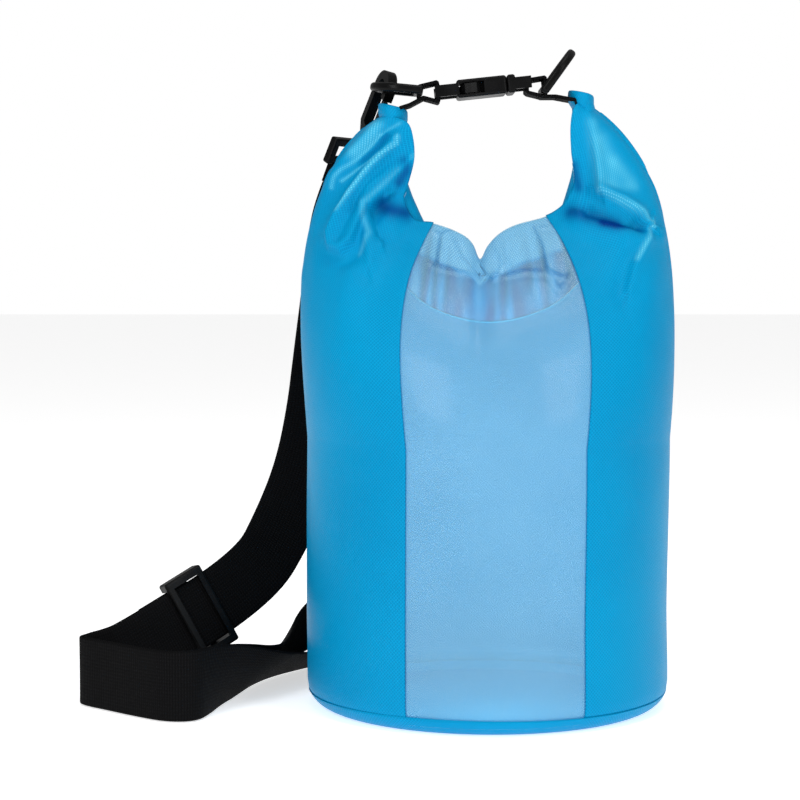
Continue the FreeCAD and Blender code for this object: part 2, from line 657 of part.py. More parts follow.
# ---- Lower ring's tab and patch, on the back wall ----
def ring_patch():
    """Welded square of coated fabric that follows the wall."""
    low = LOWER_RING_AT.z + TAB_REACH + 3 - PATCH_H
    outer = Part.makeCylinder(BODY_R + PATCH_T, PATCH_H, V(0, 0, low))
    inner = Part.makeCylinder(BODY_R + 0.25, PATCH_H, V(0, 0, low))
    x = LOWER_RING_AT.x
    return outer.cut(inner).common(box(x - 27, x + 27, 60, 130, low, low + PATCH_H))


def ring_tab():
    """Folded 25 mm webbing: its ends lie on the patch, its fold holds the lower ring's bar."""
    y, z, r = LOWER_RING_AT.y, LOWER_RING_AT.z, RING_LOOP_R
    flat = BODY_R + PATCH_T + CLOSE_WEB[1] / 2 + 0.1
    path = [(flat, z + TAB_REACH), (flat, z + 6), (y - r, z + 1.5), (y - r, z - r), (y + r, z - r),
            (y + r, z + 1.5), (flat + CLOSE_WEB[1] + 0.1, z + 9),
            (flat + CLOSE_WEB[1] + 0.1, z + TAB_REACH)]
    tight = r * 0.98
    return webbing_band(path, [1.5, 1.0, tight, tight, 3.0, 3.0], CLOSE_WEB[0], CLOSE_WEB[1],
                        V(1, 0, 0), V(0, 1, 0), V(0, 0, 1)).translated(V(LOWER_RING_AT.x, 0, 0))


def hardware():
    pieces = {}
    for name, shape in (("buckle_socket", buckle_socket()), ("buckle_plug", buckle_plug()),
                        ("latch_arm_front", latch_arm(-1)), ("latch_arm_back", latch_arm(1))):
        pieces[name] = placed(shape, BUCKLE_FRAME)
    y_axis = V(0, 1, 0)
    left_along, right_along = ring_axis(LEFT_RING_TILT), ring_axis(RIGHT_RING_TILT)
    pieces["ring_left"] = placed(d_ring(), frame_placement(LEFT_RING_AT, left_along, y_axis))
    pieces["ring_right"] = placed(d_ring(), frame_placement(RIGHT_RING_AT, right_along, y_axis))
    lower_ring = frame_placement(LOWER_RING_AT, LOWER_RING_ALONG, V(1, 0, 0))
    pieces["ring_lower"] = placed(d_ring(), lower_ring)

    upper = hook_frame(LEFT_RING_AT, left_along, y_axis, RING_GRIP_UPPER, HOOK_YAW_UPPER, UPPER_STEM)
    lower = hook_frame(LOWER_RING_AT, LOWER_RING_ALONG, V(-1, 0, 0), RING_GRIP_LOWER, 0, LOWER_STEM)
    upper_eye = eye_placement(upper, UPPER_STEM, UPPER_EYE_ACROSS)
    lower_eye = eye_placement(lower, LOWER_STEM, LOWER_EYE_ACROSS)
    for place, hook, eye in (("upper", upper, upper_eye), ("lower", lower, lower_eye)):
        pieces["hook_" + place] = placed(hook_body(), hook)
        pieces["gate_" + place] = placed(hook_gate(), hook)
        pieces["eye_" + place] = placed(strap_eye(), eye)
    pieces["strap_slider"] = placed(strap_slider(), slider_placement())
    return pieces, upper_eye, lower_eye


def straps(upper_eye, lower_eye):
    pieces = {"strap_end_loop": placed(strap_end_loop(), slider_placement())}
    pieces["strap_top_loop"] = placed(eye_loop(0.9, TOP_LEG), upper_eye)
    pieces["strap_low_loop"] = placed(eye_loop(LEG_GAP, LOW_LEG), lower_eye)

    def eye_spot(eye, y, z):
        across = eye.Rotation.multVec(V(-1, 0, 0))
        return eye.multVec(V(0, y, EYE_BAR_Z - z)), across

    top = eye_spot(upper_eye, 0, TOP_LEG + 0.15), eye_spot(upper_eye, 0, TOP_LEG + 13)
    main_run = eye_spot(lower_eye, LEG_GAP, 22), eye_spot(lower_eye, LEG_GAP, LOW_LEG + 0.1)
    return_run = eye_spot(lower_eye, -LEG_GAP, LOW_LEG + 0.1), eye_spot(lower_eye, -LEG_GAP, 20)
    routes = {"strap_main": main_route(*top, *main_run),
              "strap_return": return_route(*return_run)}
    for name, route in routes.items():
        stations = smooth_route(name, route)
        shape = ribbon(stations, *STRAP)
        expected = route_length(stations) * STRAP[0] * STRAP[1]
        print(name, "length", round(route_length(stations)), "volume", round(shape.Volume),
              "section times length", round(expected))
        pieces[name] = shape
    return pieces


def main():
    os.makedirs("parts", exist_ok=True)
    pieces = fabric_pieces()
    strip = stiffener_strip()
    pieces["mouth_stiffener"] = strip
    pieces["webbing_left"] = closing_webbing(LEFT_RING_AT, -1, LEFT_ROOT)
    pieces["webbing_right"] = closing_webbing(RIGHT_RING_AT, 1, RIGHT_ROOT)
    roll = mouth_roll().cut(strip)
    pieces["mouth_roll"] = roll.cut(pieces["webbing_left"]).cut(pieces["webbing_right"])
    moulded, upper_eye, lower_eye = hardware()
    pieces.update(moulded)
    pieces["ring_patch"] = ring_patch()
    pieces["ring_tab"] = ring_tab()
    pieces.update(straps(upper_eye, lower_eye))
    for name, shape in pieces.items():
        save(name, shape)


main()
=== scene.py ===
import bpy
import math
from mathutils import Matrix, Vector, noise


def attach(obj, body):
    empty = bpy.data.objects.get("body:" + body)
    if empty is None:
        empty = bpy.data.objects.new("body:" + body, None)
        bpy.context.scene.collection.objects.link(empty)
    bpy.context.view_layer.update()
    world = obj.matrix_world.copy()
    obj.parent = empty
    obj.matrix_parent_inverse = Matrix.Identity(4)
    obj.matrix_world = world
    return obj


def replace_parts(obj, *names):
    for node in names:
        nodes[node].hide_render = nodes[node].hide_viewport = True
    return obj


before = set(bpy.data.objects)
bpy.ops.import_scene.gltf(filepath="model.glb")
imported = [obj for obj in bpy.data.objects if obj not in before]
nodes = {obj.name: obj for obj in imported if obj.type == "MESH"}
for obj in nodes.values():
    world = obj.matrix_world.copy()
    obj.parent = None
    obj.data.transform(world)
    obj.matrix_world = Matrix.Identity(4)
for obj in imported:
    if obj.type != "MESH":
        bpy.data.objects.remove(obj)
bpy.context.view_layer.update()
scene = bpy.context.scene

# Lengths below are in millimetres unless a name ends in _M.
MM = 0.001

# ---- Camera ----
CAMERA_AT = (-49.0, -1300.0, 265.0)
CAMERA_AIM = (-49.0, 0.0, 170.0)
LENS = 105.0

camera_data = bpy.data.cameras.new("camera")
camera_data.lens = LENS
camera = bpy.data.objects.new("camera", camera_data)
scene.collection.objects.link(camera)
camera.location = Vector(CAMERA_AT) * MM
aim = Vector(CAMERA_AIM) * MM - camera.location
camera.rotation_euler = aim.to_track_quat("-Z", "Y").to_euler()
scene.camera = camera


# ---- Small helpers ----
def smooth_table(table, s):
    """Catmull-Rom through rows of (s, values...), evaluated at s."""
    rows = [(row[0], Vector(row[1:])) for row in table]
    last = len(rows) - 1
    i = 0
    while i < last - 1 and s > rows[i + 1][0]:
        i += 1
    s0, p0 = rows[i]
    s1, p1 = rows[i + 1]
    before = rows[max(i - 1, 0)]
    after = rows[min(i + 2, last)]
    span = s1 - s0
    t = min(1.0, max(0.0, (s - s0) / span))
    m0 = (p1 - before[1]) * (span / (s1 - before[0]))
    m1 = (after[1] - p0) * (span / (after[0] - s0))
    return (p0 * (2 * t ** 3 - 3 * t ** 2 + 1) + m0 * (t ** 3 - 2 * t ** 2 + t)
            + p1 * (-2 * t ** 3 + 3 * t ** 2) + m1 * (t ** 3 - t ** 2))


def ease(a, b, x):
    """0 before a, 1 after b, smooth between."""
    t = min(1.0, max(0.0, (x - a) / (b - a)))
    return t * t * (3 - 2 * t)


def bezier(p0, p1, p2, p3, t):
    u = 1 - t
    return p0 * u ** 3 + p1 * (3 * u * u * t) + p2 * (3 * u * t * t) + p3 * t ** 3


def make_mesh(name, points, faces, uvs, body, material, painted_light_numbers=None):
    """A piece from millimetre points. uvs has one (u, v) in millimetres for each point, and
    the painted light list one number: above 0 for painted highlight on raised creases, below 0 for
    painted shade in deep folds."""
    mesh = bpy.data.meshes.new(name)
    mesh.from_pydata([tuple(Vector(p) * MM) for p in points], [], faces)
    layer = mesh.uv_layers.new(name="cloth")
    for loop in mesh.loops:
        u, v = uvs[loop.vertex_index]
        layer.data[loop.index].uv = (u * MM, v * MM)
    if painted_light_numbers:
        # The painted highlight and painted shade numbers go into the mesh's ridge attribute.
        tone_and_painted_light = mesh.attributes.new("ridge", "FLOAT", "POINT")
        for item, value in zip(tone_and_painted_light.data, painted_light_numbers):
            item.value = value
    mesh.validate()
    mesh.update()
    for polygon in mesh.polygons:
        polygon.use_smooth = True
    piece = bpy.data.objects.new(name, mesh)
    scene.collection.objects.link(piece)
    mesh.materials.append(material)
    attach(piece, body)
    return piece


def apply_modifiers(piece):
    """Keeps the shape that the modifiers give and drops the modifiers."""
    graph = bpy.context.evaluated_depsgraph_get()
    made = bpy.data.meshes.new_from_object(piece.evaluated_get(graph))
    piece.modifiers.clear()
    piece.data = made


def thicken(piece, thickness, offset=-1.0):
    """Gives a sheet its thickness, inwards (-1) or to both sides (0)."""
    shell = piece.modifiers.new("thickness", "SOLIDIFY")
    shell.thickness = thickness * MM
    shell.offset = offset
    apply_modifiers(piece)
    for polygon in piece.data.polygons:
        polygon.use_smooth = True


# ---- Materials ----
# Azure and its paler tone for the scrim's threads and random blotches, partly painted highlight on
# the threads; then painted highlight for raised creases and painted shade for deep folds.
AZURE = (0.0, 0.215, 0.45)
AZURE_BRIGHT = (0.002, 0.33, 0.61)
AZURE_PAINTED_HIGHLIGHT = (0.16, 0.68, 0.86)
AZURE_PAINTED_SHADE = (0.0, 0.03, 0.2)
# A darker copy of the azure, painted shade for the back panel behind the film, then its paler tone,
# its painted highlight and its deeper painted shade.
FOLD = (0.01, 0.10, 0.38)
FOLD_BRIGHT = (0.03, 0.30, 0.56)
FOLD_PAINTED_HIGHLIGHT = (0.34, 0.72, 0.86)
FOLD_PAINTED_DEEP_SHADE = (0.03, 0.02, 0.16)
FILM = (0.30, 0.62, 0.80)
# Painted shade along the film's creases.
FILM_PAINTED_CREASE_SHADE = (0.05, 0.28, 0.55)
FILM_ALPHA = 0.26         # of one layer; the film has two, its faces
WEB = (0.0024, 0.0024, 0.0026)
WEB_BRIGHT = (0.008, 0.008, 0.0085)
THREAD = (0.03, 0.03, 0.032)
SCRIM_PITCH = 2.0
RIB_PITCH, COLUMN_PITCH = 1.5, 1.9
SEAM_THREAD = 0.6
SEAM_OFF_MIDDLE = 9.0
STITCH_PITCH = 3.0


def new_material(name, color, roughness, **values):
    material = bpy.data.materials.new(name)
    material.use_nodes = True
    shader = material.node_tree.nodes["Principled BSDF"]
    shader.inputs["Base Color"].default_value = (*color, 1.0)
    shader.inputs["Roughness"].default_value = roughness
    for socket, value in values.items():
        shader.inputs[socket.replace("_", " ")].default_value = value
    return material, material.node_tree, shader


def add(tree, kind, **settings):
    node = tree.nodes.new(kind)
    for key, value in settings.items():
        setattr(node, key, value)
    return node


def math_node(tree, operation, a, b=None):
    node = add(tree, "ShaderNodeMath", operation=operation)
    for i, value in enumerate((a, b)):
        if value is None:
            continue
        if isinstance(value, (int, float)):
            node.inputs[i].default_value = value
        else:
            tree.links.new(value, node.inputs[i])
    return node.outputs[0]


def map_range(tree, value, low, high, to_low, to_high):
    node = add(tree, "ShaderNodeMapRange")
    tree.links.new(value, node.inputs["Value"])
    for socket, number in (("From Min", low), ("From Max", high),
                           ("To Min", to_low), ("To Max", to_high)):
        node.inputs[socket].default_value = number
    return node.outputs["Result"]


def cloth_uv(tree):
    uv = add(tree, "ShaderNodeUVMap", uv_map="cloth")
    split = add(tree, "ShaderNodeSeparateXYZ")
    tree.links.new(uv.outputs["UV"], split.inputs[0])
    return split.outputs["X"], split.outputs["Y"]


def wave(tree, value, pitch_mm):
    """0 to 1, repeating every pitch."""
    scaled = math_node(tree, "MULTIPLY", value, 2 * math.pi / (pitch_mm * MM))
    sine = math_node(tree, "SINE", scaled)
    return map_range(tree, sine, -1, 1, 0, 1)


def noise_value(tree, scale, detail=3.0, vector=None):
    node = add(tree, "ShaderNodeTexNoise")
    node.inputs["Scale"].default_value = scale
    node.inputs["Detail"].default_value = detail
    if vector is None:
        coordinates = add(tree, "ShaderNodeTexCoord")
        vector = coordinates.outputs["Object"]
    tree.links.new(vector, node.inputs["Vector"])
    return node.outputs["Fac"]


def bump(tree, shader, height, strength, distance_mm):
    node = add(tree, "ShaderNodeBump")
    node.inputs["Strength"].default_value = strength
    node.inputs["Distance"].default_value = distance_mm * MM
    tree.links.new(height, node.inputs["Height"])
    tree.links.new(node.outputs["Normal"], shader.inputs["Normal"])


def mix_color(tree, factor, color_a, color_b):
    node = add(tree, "ShaderNodeMix", data_type="RGBA")
    tree.links.new(factor, node.inputs["Factor"])
    for socket, color in ((6, color_a), (7, color_b)):
        if isinstance(color, tuple):
            node.inputs[socket].default_value = (*color, 1.0)
        else:
            tree.links.new(color, node.inputs[socket])
    return node.outputs[2]


def scrim_waves(tree):
    """The two crossing directions of the diamond scrim inside the coating."""
    u, v = cloth_uv(tree)
    return (wave(tree, math_node(tree, "ADD", u, v), SCRIM_PITCH),
            wave(tree, math_node(tree, "SUBTRACT", u, v), SCRIM_PITCH))


def scrim_threads(tree, one, two):
    return map_range(tree, math_node(tree, "MAXIMUM", one, two), 0.7, 1.0, 0.0, 1.0)


def scrim_cells(tree, one, two):
    return math_node(tree, "MULTIPLY", math_node(tree, "SUBTRACT", 1.0, one),
                     math_node(tree, "SUBTRACT", 1.0, two))


def painted_light_value(tree, low, high, to_low, to_high):
    """The mesh's painted light number (its ridge attribute), brought from low..high to
    to_low..to_high.
    """
    tone_and_painted_light = add(tree, "ShaderNodeAttribute", attribute_name="ridge")
    return map_range(tree, tone_and_painted_light.outputs["Fac"], low, high, to_low, to_high)


def coated_fabric(name, color, bright, painted_highlight, deep):
    """Azure coating over a diamond scrim, with painted highlight on its raised creases and painted
    shade in deep folds.
    """
    material, tree, shader = new_material(name, color, 0.36, Specular_IOR_Level=0.04)
    waves = scrim_waves(tree)
    threads, cells = scrim_threads(tree, *waves), scrim_cells(tree, *waves)
    blotch = noise_value(tree, 9.0, 4.0)
    # Paler on the scrim's threads and in random blotches: the threads' paleness is partly their
    # pattern and partly painted highlight.
    tone_and_painted_light = math_node(tree, "ADD", map_range(tree, threads, 0.0, 1.0, 0.0, 0.75),
                     map_range(tree, blotch, 0.35, 0.65, 0.0, 0.3))
    plain = mix_color(tree, tone_and_painted_light, color, bright)
    # Painted highlight: the pale azure in the scrim's cells along raised creases.
    ridge = math_node(tree, "MULTIPLY", painted_light_value(tree, 0.0, 1.0, 0.0, 1.0),
                      map_range(tree, cells, 0.15, 0.6, 0.25, 1.0))
    with_painted_highlight = mix_color(tree, ridge, plain, painted_highlight)
    # Painted shade: the deep azure in deep folds.
    painted_shade_mask = painted_light_value(tree, -1.0, 0.0, 1.0, 0.0)
    tree.links.new(mix_color(tree, painted_shade_mask, with_painted_highlight, deep), shader.inputs["Base Color"])
    tree.links.new(map_range(tree, tone_and_painted_light, 0.0, 0.8, 0.45, 0.3), shader.inputs["Roughness"])
    fine = noise_value(tree, 900.0, 2.0)
    height = math_node(tree, "SUBTRACT", math_node(tree, "MULTIPLY", fine, 0.2), threads)
    bump(tree, shader, height, 0.5, 0.15)
    return material


def clear_film(name, color, alpha):
    """Pale clear film with a faint scrim, and painted shade as thin darker lines along its creases.
    """
    material, tree, shader = new_material(name, color, 0.2, Specular_IOR_Level=0.25,
                                          Alpha=alpha)
    ripple = noise_value(tree, 26.0, 4.0)
    threads = scrim_threads(tree, *scrim_waves(tree))
    haze = math_node(tree, "ADD", math_node(tree, "MULTIPLY", threads, 0.3),
                     map_range(tree, ripple, 0.3, 0.7, 0.0, 0.5))
    pale = tuple(min(1.0, c * 1.16 + 0.02) for c in color)
    plain = mix_color(tree, haze, color, pale)
    # Painted shade along the crests of the film's creases.
    crease = painted_light_value(tree, 0.15, 1.0, 0.0, 0.55)
    tree.links.new(mix_color(tree, crease, plain, FILM_PAINTED_CREASE_SHADE), shader.inputs["Base Color"])
    tree.links.new(map_range(tree, ripple, 0.3, 0.7, 0.12, 0.22), shader.inputs["Roughness"])
    bump(tree, shader, ripple, 0.35, 1.2)
    material.surface_render_method = "BLENDED"
    return material


def webbing_material(name, color, bright, stitched=0.0):
    """Narrow woven tape: ribs across it, in columns along it. stitched is how far from its
    middle line, in millimetres, a seam runs on each side, or 0 for none."""
    material, tree, shader = new_material(name, color, 0.72, Specular_IOR_Level=0.03)
    u, v = cloth_uv(tree)
    ribs = wave(tree, v, RIB_PITCH)
    columns = wave(tree, u, COLUMN_PITCH)
    weave = math_node(tree, "MULTIPLY", ribs, math_node(tree, "ADD", columns, 0.5))
    fuzz = noise_value(tree, 1500.0, 2.0)
    shade = math_node(tree, "ADD", math_node(tree, "MULTIPLY", weave, 0.5),
                      math_node(tree, "MULTIPLY", fuzz, 0.4))
    woven = mix_color(tree, shade, color, bright)
    height = math_node(tree, "ADD", weave, math_node(tree, "MULTIPLY", fuzz, 0.3))
    if stitched:
        off_seam = math_node(tree, "ABSOLUTE", math_node(
            tree, "SUBTRACT", math_node(tree, "ABSOLUTE", u), stitched * MM))
        on_seam = map_range(tree, off_seam, 0.0, SEAM_THREAD * MM, 1.0, 0.0)
        stitch = math_node(tree, "MULTIPLY", on_seam,
                           map_range(tree, wave(tree, v, STITCH_PITCH), 0.25, 0.45, 0.0, 1.0))
        woven = mix_color(tree, stitch, woven, THREAD)
        height = math_node(tree, "ADD", height, math_node(tree, "MULTIPLY", stitch, 2.0))
    tree.links.new(woven, shader.inputs["Base Color"])
    tree.links.new(map_range(tree, fuzz, 0.3, 0.7, 0.6, 0.85), shader.inputs["Roughness"])
    bump(tree, shader, height, 0.7, 0.35)
    return material


def moulded_plastic(name, color, roughness, bright):
    material, tree, shader = new_material(name, color, roughness, Specular_IOR_Level=0.1)
    grain = noise_value(tree, 1400.0, 3.0)
    rubbed = noise_value(tree, 60.0, 5.0)
    tree.links.new(mix_color(tree, map_range(tree, rubbed, 0.45, 0.75, 0.0, 0.7), color, bright),
                   shader.inputs["Base Color"])
    tree.links.new(map_range(tree, rubbed, 0.35, 0.7, roughness - 0.07, roughness + 0.12),
                   shader.inputs["Roughness"])
    bump(tree, shader, grain, 0.35, 0.06)
    return material


fabric = coated_fabric("azure_coated_fabric", AZURE, AZURE_BRIGHT, AZURE_PAINTED_HIGHLIGHT, AZURE_PAINTED_SHADE)
# The back panel behind the film: the azure painted darker, as painted shade.
inner_fabric = coated_fabric("shaded_fold", FOLD, FOLD_BRIGHT, FOLD_PAINTED_HIGHLIGHT, FOLD_PAINTED_DEEP_SHADE)
film = clear_film("clear_film", FILM, FILM_ALPHA)
black_web = webbing_material("black_webbing", WEB, WEB_BRIGHT)
sewn_web = webbing_material("sewn_webbing", WEB, WEB_BRIGHT, SEAM_OFF_MIDDLE)
plastic = moulded_plastic("black_moulding", (0.0025, 0.0025, 0.0027), 0.34,
                          (0.006, 0.006, 0.0064))
gate_plastic = moulded_plastic("black_gate", (0.006, 0.006, 0.0064), 0.26,
                               (0.012, 0.012, 0.0125))
strip_plastic = moulded_plastic("pale_strip", (0.62, 0.68, 0.72), 0.45, (0.72, 0.76, 0.79))

# ---- Shoulder strap ----
STRAP_W, STRAP_T = 38.0, 1.6
# The slider's middle, and the strap's run, width and face there.
SLIDER_AT = Vector((-163.0, 20.0, 47.0))
SLIDER_ALONG = Vector((0.754213, 0.500806, 0.424683))
SLIDER_WIDE = Vector((-0.464904, -0.049469, 0.883978))
SLIDER_FACE = Vector((0.46371, -0.864145, 0.195516))
UP = (0, 0, 1)

# Control points of each run, with the direction of the strap's width at each.
MAIN_ROUTE = (
    ((-78.97, 29.48, 290.89), (-0.704, -0.709, 0.046)),
    ((-83.61, 33.35, 279.55), (-0.704, -0.709, 0.046)),
    ((-86, 38, 262), (-0.78, -0.62, 0.10)),
    ((-89, 53, 234), (-0.83, -0.56, 0.05)),
    ((-94, 69, 197), (-0.88, -0.47, 0.0)),
    ((-98, 79, 158), (-0.94, -0.34, 0.05)),
    ((-105, 78, 122), (-0.92, -0.22, 0.30)),
    ((-117, 62, 92), (-0.76, -0.12, 0.62)),
    (tuple(SLIDER_AT + SLIDER_ALONG * 40), tuple(SLIDER_WIDE)),
    (tuple(SLIDER_AT - SLIDER_ALONG * 48), tuple(SLIDER_WIDE)),
    ((-212, -4.5, 21.8), (-0.16, 0, 0.98)),
    ((-221, -4.0, 19.8), UP),
    ((-226, -8.5, 19.6), UP),
    ((-222, -15, 19.6), UP),
    ((-210, -26, 19.6), UP),
    ((-192, -43, 19.6), UP),
    ((-174, -57.5, 19.6), UP),
    ((-160.5, -56, 19.6), UP),
    ((-154, -40, 19.6), (0.12, 0, 0.99)),
    ((-144, -14, 18.6), (0.45, -0.08, 0.87)),
    ((-130.5, 13, 16.2), (0.72, -0.13, 0.66)),
    ((-124, 39, 17.5), (0.66, -0.20, 0.70)),
    ((-116, 62, 23), (0.40, -0.20, 0.88)),
    ((-103, 84, 30), (0.22, -0.25, 0.93)),
    ((-86, 103, 34), (0.10, -0.50, 0.85)),
    ((-67.80, 129.26, 29.65), (-0.105, -0.973, -0.207)),
    ((-59.17, 126.38, 38.80), (-0.105, -0.973, -0.207)))
RETURN_ROUTE = (
    ((-54.75, 126.77, 34.76), (-0.105, -0.973, -0.207)),
    ((-62.04, 129.20, 27.03), (-0.105, -0.973, -0.207)),
    ((-68, 115, 14), (0.25, -0.88, 0.36)),
    ((-80, 101, 8.8), (0.47, -0.78, 0.38)),
    ((-97, 79, 8.8), (0.65, -0.63, 0.40)),
    ((-110, 59, 9.6), (0.78, -0.42, 0.43)),
    ((-119.5, 37, 11.6), (0.80, -0.25, 0.52)),
    ((-127, 11.5, 13.6), (0.76, -0.13, 0.62)),
    ((-140.5, -14.6, 17.4), (0.47, -0.08, 0.87)),
    ((-151.4, -40.6, 19.6), (0.12, 0, 0.99)),
    ((-158.6, -58.4, 19.6), UP),
    ((-174.6, -60.2, 19.6), UP),
    ((-193.6, -45.0, 19.6), UP),
    ((-211.6, -28.0, 19.6), UP),
    ((-224, -17.0, 19.6), UP),
    ((-228.8, -8.5, 19.6), UP),
    ((-222, -1.4, 20.0), UP),
    ((-212, -1.2, 22.4), (-0.16, 0, 0.98)),
    (tuple(SLIDER_AT - SLIDER_ALONG * 46 - SLIDER_FACE * 5.3), tuple(SLIDER_WIDE)),
    (tuple(SLIDER_AT - SLIDER_ALONG * 15 - SLIDER_FACE * 5.3), tuple(SLIDER_WIDE)))


def nurbs_line(points):
    """The points of a smooth NURBS line whose control points are given."""
    curve = bpy.data.curves.new("line", "CURVE")
    curve.dimensions = "3D"
    spline = curve.splines.new("NURBS")
    spline.points.add(len(points) - 1)
    for target, point in zip(spline.points, points):
        target.co = (*point, 1.0)
    spline.order_u = 3
    spline.use_endpoint_u = True
    spline.resolution_u = 12
    holder = bpy.data.objects.new("line", curve)
    mesh = bpy.data.meshes.new_from_object(holder)
    found = [vertex.co.copy() for vertex in mesh.vertices]
    bpy.data.objects.remove(holder)
    bpy.data.curves.remove(curve)
    bpy.data.meshes.remove(mesh)
    return found


# Cross-section of webbing: across and through, in shares of half its width and thickness.
TAPE_SECTION = ((-1.0, 0.0), (-0.985, 0.75), (-0.93, 1.0), (-0.6, 0.93), (-0.2, 0.9), (0.2, 0.9),
                (0.6, 0.93), (0.93, 1.0), (0.985, 0.75), (1.0, 0.0), (0.985, -0.75),
                (0.93, -1.0), (0.6, -0.93), (0.2, -0.9), (-0.2, -0.9), (-0.6, -0.93),
                (-0.93, -1.0), (-0.985, -0.75))


def tape(name, line, acrosses, width, thick, body, material):
    """Webbing along a line of millimetre points, with the direction of its width at each."""
    points, faces, uvs = [], [], []
    travelled = 0.0
    count = len(TAPE_SECTION)
    for i, middle in enumerate(line):
        ahead = line[min(i + 1, len(line) - 1)] - line[max(i - 1, 0)]
        along = ahead.normalized()
        wide = (acrosses[i] - along * acrosses[i].dot(along)).normalized()
        through = along.cross(wide)
        if i:
            travelled += (middle - line[i - 1]).length
        for a, b in TAPE_SECTION:
            points.append(middle + wide * (a * width / 2) + through * (b * thick / 2))
            uvs.append((a * width / 2, travelled))
    for i in range(len(line) - 1):
        for k in range(count):
            m = (k + 1) % count
            faces.append((i * count + k, i * count + m, (i + 1) * count + m,
                          (i + 1) * count + k))
    faces.append(tuple(range(count))[::-1])
    faces.append(tuple(range((len(line) - 1) * count, len(line) * count)))
    return make_mesh(name, points, faces, uvs, body, material)


def strap_piece(name, route):
    line = nurbs_line([point for point, across in route])
    acrosses = nurbs_line([across for point, across in route])
    piece = tape(name, line, acrosses, STRAP_W, STRAP_T, "root", black_web)
    return piece, [tuple(point * MM) for point in line]


main_tape, main_path = strap_piece("shoulder_strap", MAIN_ROUTE)
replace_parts(main_tape, "strap_main")
return_tape, return_path = strap_piece("strap_return_run", RETURN_ROUTE)
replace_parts(return_tape, "strap_return")


# ---- Sewn webbing: loops bent in one plane ----
ARC_STEPS = 8


def bent_line(path, radii):
    """Points along straight runs joined by arcs; path holds (a, b) in the loop's plane."""
    corners = [Vector((a, b, 0)) for a, b in path]
    found = [corners[0]]
    for i in range(1, len(corners) - 1):
        before = (corners[i - 1] - corners[i]).normalized()
        after = (corners[i + 1] - corners[i]).normalized()
        half = before.angle(after) / 2
        radius = radii[i - 1]
        reach = radius / math.tan(half)
        centre = corners[i] + (before + after).normalized() * (radius / math.sin(half))
        start = corners[i] + before * reach - centre
        end = corners[i] + after * reach - centre
        for step in range(ARC_STEPS + 1):
            found.append(centre + start.slerp(end, step / ARC_STEPS))
    return found + [corners[-1]]


def webbing_loop(name, node, path, radii, size, place, body):
    """size is width and thickness; place is the origin, the width's axis, then the a and b axes."""
    origin, wide, a_axis, b_axis = place
    line = [origin + a_axis * point.x + b_axis * point.y for point in bent_line(path, radii)]
    piece = tape(name, line, [wide] * len(line), *size, body, sewn_web)
    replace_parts(piece, node)


CLOSE_WEB = (25.0, 2.0)       # width and thickness of the doubled webbing
TAB_WEB = (25.0, 1.4)
STRAP_WEB = (STRAP_W, STRAP_T)
UPRIGHT = (Vector((0, 0, 0)), Vector((0, 1, 0)), Vector((1, 0, 0)), Vector((0, 0, 1)))
CLOSE_RADII = (2.5, 3.0, 3.0, 3.0, 3.23, 3.23, 3.0, 3.0, 4.1, 4.1)
LEFT_WEB = ((-52.5, 318.0), (-50.5, 332.5), (-44.4, 335.2), (-35.9, 335.2), (-28.3, 337.1),
            (-24.0, 337.5), (-24.7, 344.1), (-29.0, 343.6), (-37.9, 345.5), (-43.1, 345.5),
            (-43.1, 337.1), (-38.6, 337.1))
RIGHT_WEB = ((51.0, 326.0), (48.5, 338.0), (36.5, 335.9), (28.0, 335.9), (22.0, 342.4),
             (17.7, 341.9), (17.0, 348.5), (21.3, 348.9), (30.0, 346.2), (35.2, 346.2),
             (35.2, 337.8), (30.7, 337.8))
for name, node, path in (("closing_web_left", "webbing_left", LEFT_WEB),
                         ("closing_web_right", "webbing_right", RIGHT_WEB)):
    webbing_loop(name, node, path, CLOSE_RADII, CLOSE_WEB, UPRIGHT, "root")
TAB = ((103.3, 115.0), (103.3, 100.0), (104.3, 95.5), (104.3, 89.8), (112.7, 89.8), (112.7, 95.5),
       (104.8, 103.0), (104.8, 115.0))
TAB_RADII = (1.5, 1.0, 4.1, 4.1, 3.0, 3.0)
TAB_PLACE = (Vector((-10, 0, 0)), Vector((1, 0, 0)), Vector((0, 1, 0)), Vector((0, 0, 1)))
webbing_loop("ring_tab_sewn", "ring_tab", TAB, TAB_RADII, TAB_WEB, TAB_PLACE, "root")
# Each eye's hook centre, its width's axis and the swivel's axis upwards.
UPPER_EYE = (Vector((-57.616, 11.682, 343.102)), Vector((0.704001, 0.708681, -0.046408)),
             Vector((0.361085, -0.300904, 0.882652)))
LOWER_EYE = (Vector((-20.783, 114.515, 75.153)), Vector((0.105028, 0.972752, 0.206696)),
             Vector((0.668751, -0.222917, 0.709281)))
EYE_RADII = (3.0, 3.33, 3.33, 3.0)
EYE_HALF, EYE_LOW, EYE_HIGH = 3.4, -46.5, -41.6
